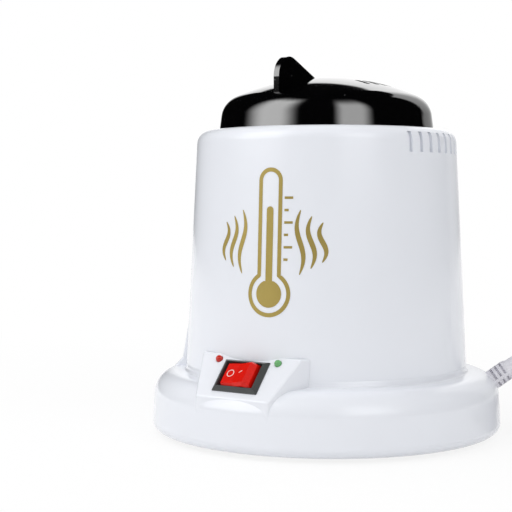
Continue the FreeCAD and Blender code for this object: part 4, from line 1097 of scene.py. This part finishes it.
@dataclass
class RockerMarks:
    """The ring and the bar moulded on the rocker's two faces."""

    throw: float = 11.5
    pivot: float = 3.2
    rise: float = 6.4
    dip: float = 0.7
    half: float = 5.9
    proud: float = 0.05
    sunk: float = 0.1
    ring: tuple[float, float] = (1.4, 1.73)
    ring_along: float = 2.95
    ring_steps: int = 40
    bar: tuple[float, float, float] = (1.9, 0.36, 0.15)
    bar_along: float = 2.2
    bar_up: float = 0.6
    bar_turn: float = 0.42
    bar_edge: float = 0.04

    def face(self, along: float, side: int) -> Matrix:
        """A frame on one of the rocker's faces.

        Args:
            along: Millimetres from the middle ridge towards the face's end.
            side: -1 for the left face and 1 for the right.

        Returns:
            The frame's matrix.
        """
        lean = math.atan2(self.dip, self.half)
        base = panel_place(-self.pivot) @ Matrix.Rotation(math.radians(-self.throw), 4, "Y")
        height = self.rise - self.dip + along * math.tan(lean)
        place = base @ Matrix.Translation((side * along * MM, 0, height * MM))
        return place @ Matrix.Rotation(-side * lean, 4, "Y")

    def make_ring(self) -> bmesh.types.BMesh:
        """Turns the ring's square section.

        Returns:
            The bmesh.
        """
        inner, outer = self.ring
        low, high = -self.sunk, self.proud
        section = ((inner, low), (inner, high), (outer, high), (outer, low), (inner, low))
        return turned(section, self.ring_steps)

    def make_bar(self) -> bmesh.types.BMesh:
        """Makes the bar with its edges eased.

        Returns:
            The bmesh.
        """
        bar = bmesh.new()
        bmesh.ops.create_cube(bar, size=1.0)
        bmesh.ops.scale(bar, vec=self.bar, verts=bar.verts)
        bmesh.ops.bevel(
            bar, geom=bar.edges[:], offset=self.bar_edge, offset_type="OFFSET", segments=2,
            profile=0.5, affect="EDGES", material=-1,
        )
        turn = Matrix.Rotation(self.bar_turn, 3, "Z")
        bmesh.ops.rotate(bar, cent=(0, 0, 0), matrix=turn, verts=bar.verts)
        bmesh.ops.translate(bar, vec=(0, self.bar_up, 0), verts=bar.verts)
        return bar

    def build(self, palette: Palette) -> None:
        """Makes both marks.

        Args:
            palette: The finishes.
        """
        off = (self.make_ring(), "mark_off", self.face(self.ring_along, -1))
        on = (self.make_bar(), "mark_on", self.face(self.bar_along, 1))
        for shape, name, place in (off, on):
            mark = finished(shape, name, palette.get("mark_white"), 30, place)
            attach(mark, "rocker")


@dataclass(frozen=True)
class Band:
    """A bright band in front: where its sides and its top fade in, and how bright it is."""

    level: float
    left: tuple[float, float]
    right: tuple[float, float]
    top: tuple[float, float]


@dataclass(frozen=True)
class Softbox:
    """A lamp that faces the object.

    Its turn is in degrees to the right of the camera, seen from the object, and its rise in
    degrees above the floor. Width and height are in metres and the power is in watts.
    """

    name: str
    turn: float
    rise: float
    width: float
    height: float
    power: float


@dataclass
class Studio:
    """The floor, the world and the three softboxes.

    Mirrors see a bright panel behind the object and two bands in front of it. The panel's sides
    are angles in radians from straight back, and the bands' are angles from the camera. A
    height is the upward part of a direction.
    """

    fill: float = 0.62
    dark: float = 0.003
    panel_left: tuple[float, float] = (-0.30, -0.10)
    panel_right: tuple[float, float] = (0.92, 0.82)
    panel_fade: tuple[float, float] = (0.50, 0.15)
    panel_dim: float = 0.5
    panel_top: tuple[float, float] = (0.515, 0.485)
    panel_slant: float = 0.5
    panel_level: float = 0.9
    panel_gain: float = 2.0
    bands: tuple[Band, ...] = (
        Band(3.3, (-1.76, -1.22), (-0.50, -0.92), (0.94, 0.74)),
        Band(2.5, (0.12, 0.34), (0.94, 0.66), (0.94, 0.50)),
    )
    band_foot: tuple[float, float] = (0.09, 0.19)
    view: tuple[float, float] = (0.5045, -0.8634)
    side: tuple[float, float] = (0.8634, 0.5045)
    lamps: tuple[Softbox, ...] = (
        Softbox("softbox_left", -62, 34, 0.80, 0.75, 2.6),
        Softbox("softbox_right", 40, 36, 0.50, 0.75, 1.7),
        Softbox("softbox_top", -100, 72, 0.90, 0.90, 2.8),
    )
    lamp_distance: float = 0.95
    lamp_aim: Point = (0, 0, 0.08)
    floor_half: float = 4.0
    floor_drop: float = 0.0003
    floor_fade: tuple[float, float] = (0.08, 0.45)
    floor_glow: float = 0.86

    def light(self, box: Softbox) -> None:
        """Adds one softbox.

        Args:
            box: The softbox.
        """
        lamp = bpy.data.lights.new(box.name, "AREA")
        lamp.shape = "RECTANGLE"
        lamp.size = box.width
        lamp.size_y = box.height
        lamp.energy = box.power
        across = math.radians(box.turn)
        up = math.radians(box.rise)
        flat = Vector(self.view) * math.cos(across) + Vector(self.side) * math.sin(across)
        way = Vector((*(flat.normalized() * math.cos(up)), math.sin(up)))
        made = bpy.data.objects.new(box.name, lamp)
        made.visible_glossy = False
        made.location = way * self.lamp_distance + Vector(self.lamp_aim)
        made.rotation_euler = way.to_track_quat("Z", "Y").to_euler()
        bpy.context.scene.collection.objects.link(made)

    def along(self, sky: Wiring, where: Socket, way: tuple[float, float]) -> Socket:
        """A direction's share along a level way.

        Args:
            sky: The world's tree.
            where: The direction.
            way: The level way's X and Y.

        Returns:
            The share.
        """
        made = sky.node("ShaderNodeVectorMath", operation="DOT_PRODUCT")
        made.inputs[1].default_value = (*way, 0)
        sky.feed(where, made.inputs[0])
        return made.outputs["Value"]

    def mirrored(self, sky: Wiring) -> Socket:
        """How bright the surroundings are to a mirror.

        Args:
            sky: The world's tree.

        Returns:
            The brightness.
        """
        where = sky.node("ShaderNodeTexCoord").outputs["Generated"]
        parts = sky.node("ShaderNodeSeparateXYZ")
        sky.feed(where, parts.inputs[0])
        height = parts.outputs["Z"]
        rightward = self.along(sky, where, self.side)
        back = (-self.view[0], -self.view[1])
        behind = sky.maths("ARCTAN2", rightward, self.along(sky, where, back))
        left, right = (sky.ramp(behind, *ends) for ends in (self.panel_left, self.panel_right))
        fade = sky.ramp(behind, *self.panel_fade)
        faded = sky.maths("MULTIPLY_ADD", fade, 1 - self.panel_dim, self.panel_dim)
        wide = sky.maths("MULTIPLY", sky.maths("MULTIPLY", left, right), faded)
        slant = sky.maths("MULTIPLY", rightward, self.panel_slant)
        low = sky.ramp(sky.maths("SUBTRACT", height, slant), *self.panel_top)
        level = sky.maths("MULTIPLY_ADD", height, self.panel_gain, self.panel_level)
        bright = sky.maths("MULTIPLY", sky.maths("MULTIPLY", wide, low), level)
        total = sky.maths("ADD", bright, self.dark)
        ahead = sky.maths("ARCTAN2", rightward, self.along(sky, where, self.view))
        for band in self.bands:
            left, right = (sky.ramp(ahead, *ends) for ends in (band.left, band.right))
            glow = sky.maths("MULTIPLY", left, right)
            for ends in (band.top, self.band_foot):
                glow = sky.maths("MULTIPLY", glow, sky.ramp(height, *ends))
            total = sky.maths("ADD", total, sky.maths("MULTIPLY", glow, band.level))
        return total

    def world(self) -> None:
        """White behind the object for what is seen, the panel and bands for mirrors, plain fill."""
        world = bpy.data.worlds.new("studio")
        bpy.context.scene.world = world
        world.use_nodes = True
        sky = Wiring(world.node_tree)
        plain = sky.tree.nodes["Background"]
        mirrored = sky.node("ShaderNodeBackground")
        seen = sky.node("ShaderNodeBackground")
        levels = ((plain, self.fill), (mirrored, self.mirrored(sky)), (seen, 1.0))
        for lit, strength in levels:
            lit.inputs["Color"].default_value = WHITE
            sky.feed(strength, lit.inputs["Strength"])
        path = sky.node("ShaderNodeLightPath").outputs
        unseen = sky.mix(path["Is Glossy Ray"], plain.outputs[0], mirrored.outputs[0])
        clear = sky.maths("MAXIMUM", path["Is Camera Ray"], path["Is Transmission Ray"])
        final = sky.mix(clear, unseen, seen.outputs[0])
        sky.feed(final, sky.tree.nodes["World Output"].inputs["Surface"])

    def floor(self) -> None:
        """A pale floor that is white to the eye but keeps a soft shadow."""
        shape = bmesh.new()
        bmesh.ops.create_grid(shape, x_segments=2, y_segments=2, size=self.floor_half)
        mesh = bpy.data.meshes.new("floor")
        shape.to_mesh(mesh)
        shape.free()
        recipe = Recipe("floor_pale")
        recipe.set(Base_Color=(0.9, 0.9, 0.9, 1), Roughness=1.0)
        glow = recipe.node("ShaderNodeEmission")
        path = recipe.node("ShaderNodeLightPath").outputs
        share = recipe.maths("MAXIMUM", path["Is Camera Ray"], path["Is Glossy Ray"])
        span = recipe.node("ShaderNodeVectorMath", operation="LENGTH")
        recipe.feed(recipe.place, span.inputs[0])
        fade = recipe.ramp(span.outputs["Value"], *self.floor_fade, self.floor_glow)
        part = recipe.maths("MULTIPLY", share, fade)
        final = recipe.mix(part, recipe.shader.outputs[0], glow.outputs[0])
        recipe.feed(final, recipe.tree.nodes["Material Output"].inputs["Surface"])
        mesh.materials.append(recipe.material)
        made = bpy.data.objects.new("floor", mesh)
        made.location = (0, 0, -self.floor_drop)
        bpy.context.scene.collection.objects.link(made)

    def build(self) -> None:
        """Sets the view transform and adds the world, the floor and the lamps."""
        bpy.context.scene.view_settings.view_transform = "Standard"
        self.world()
        self.floor()
        for box in self.lamps:
            self.light(box)


def main() -> None:
    """Builds the scene piece by piece."""
    logging.basicConfig(level=logging.INFO, format="%(name)s %(message)s")
    palette = Palette()
    Camera().build()
    cord = MainsCord()
    lead = cord.build(palette)
    StrainRelief().build(palette)
    palette.dress_nodes()
    for part in (DrumTrim(), VentPaintedShade(), HeatPrint(), RockerMarks()):
        part.build(palette)
    Studio().build()


if __name__ == "__main__":
    main()
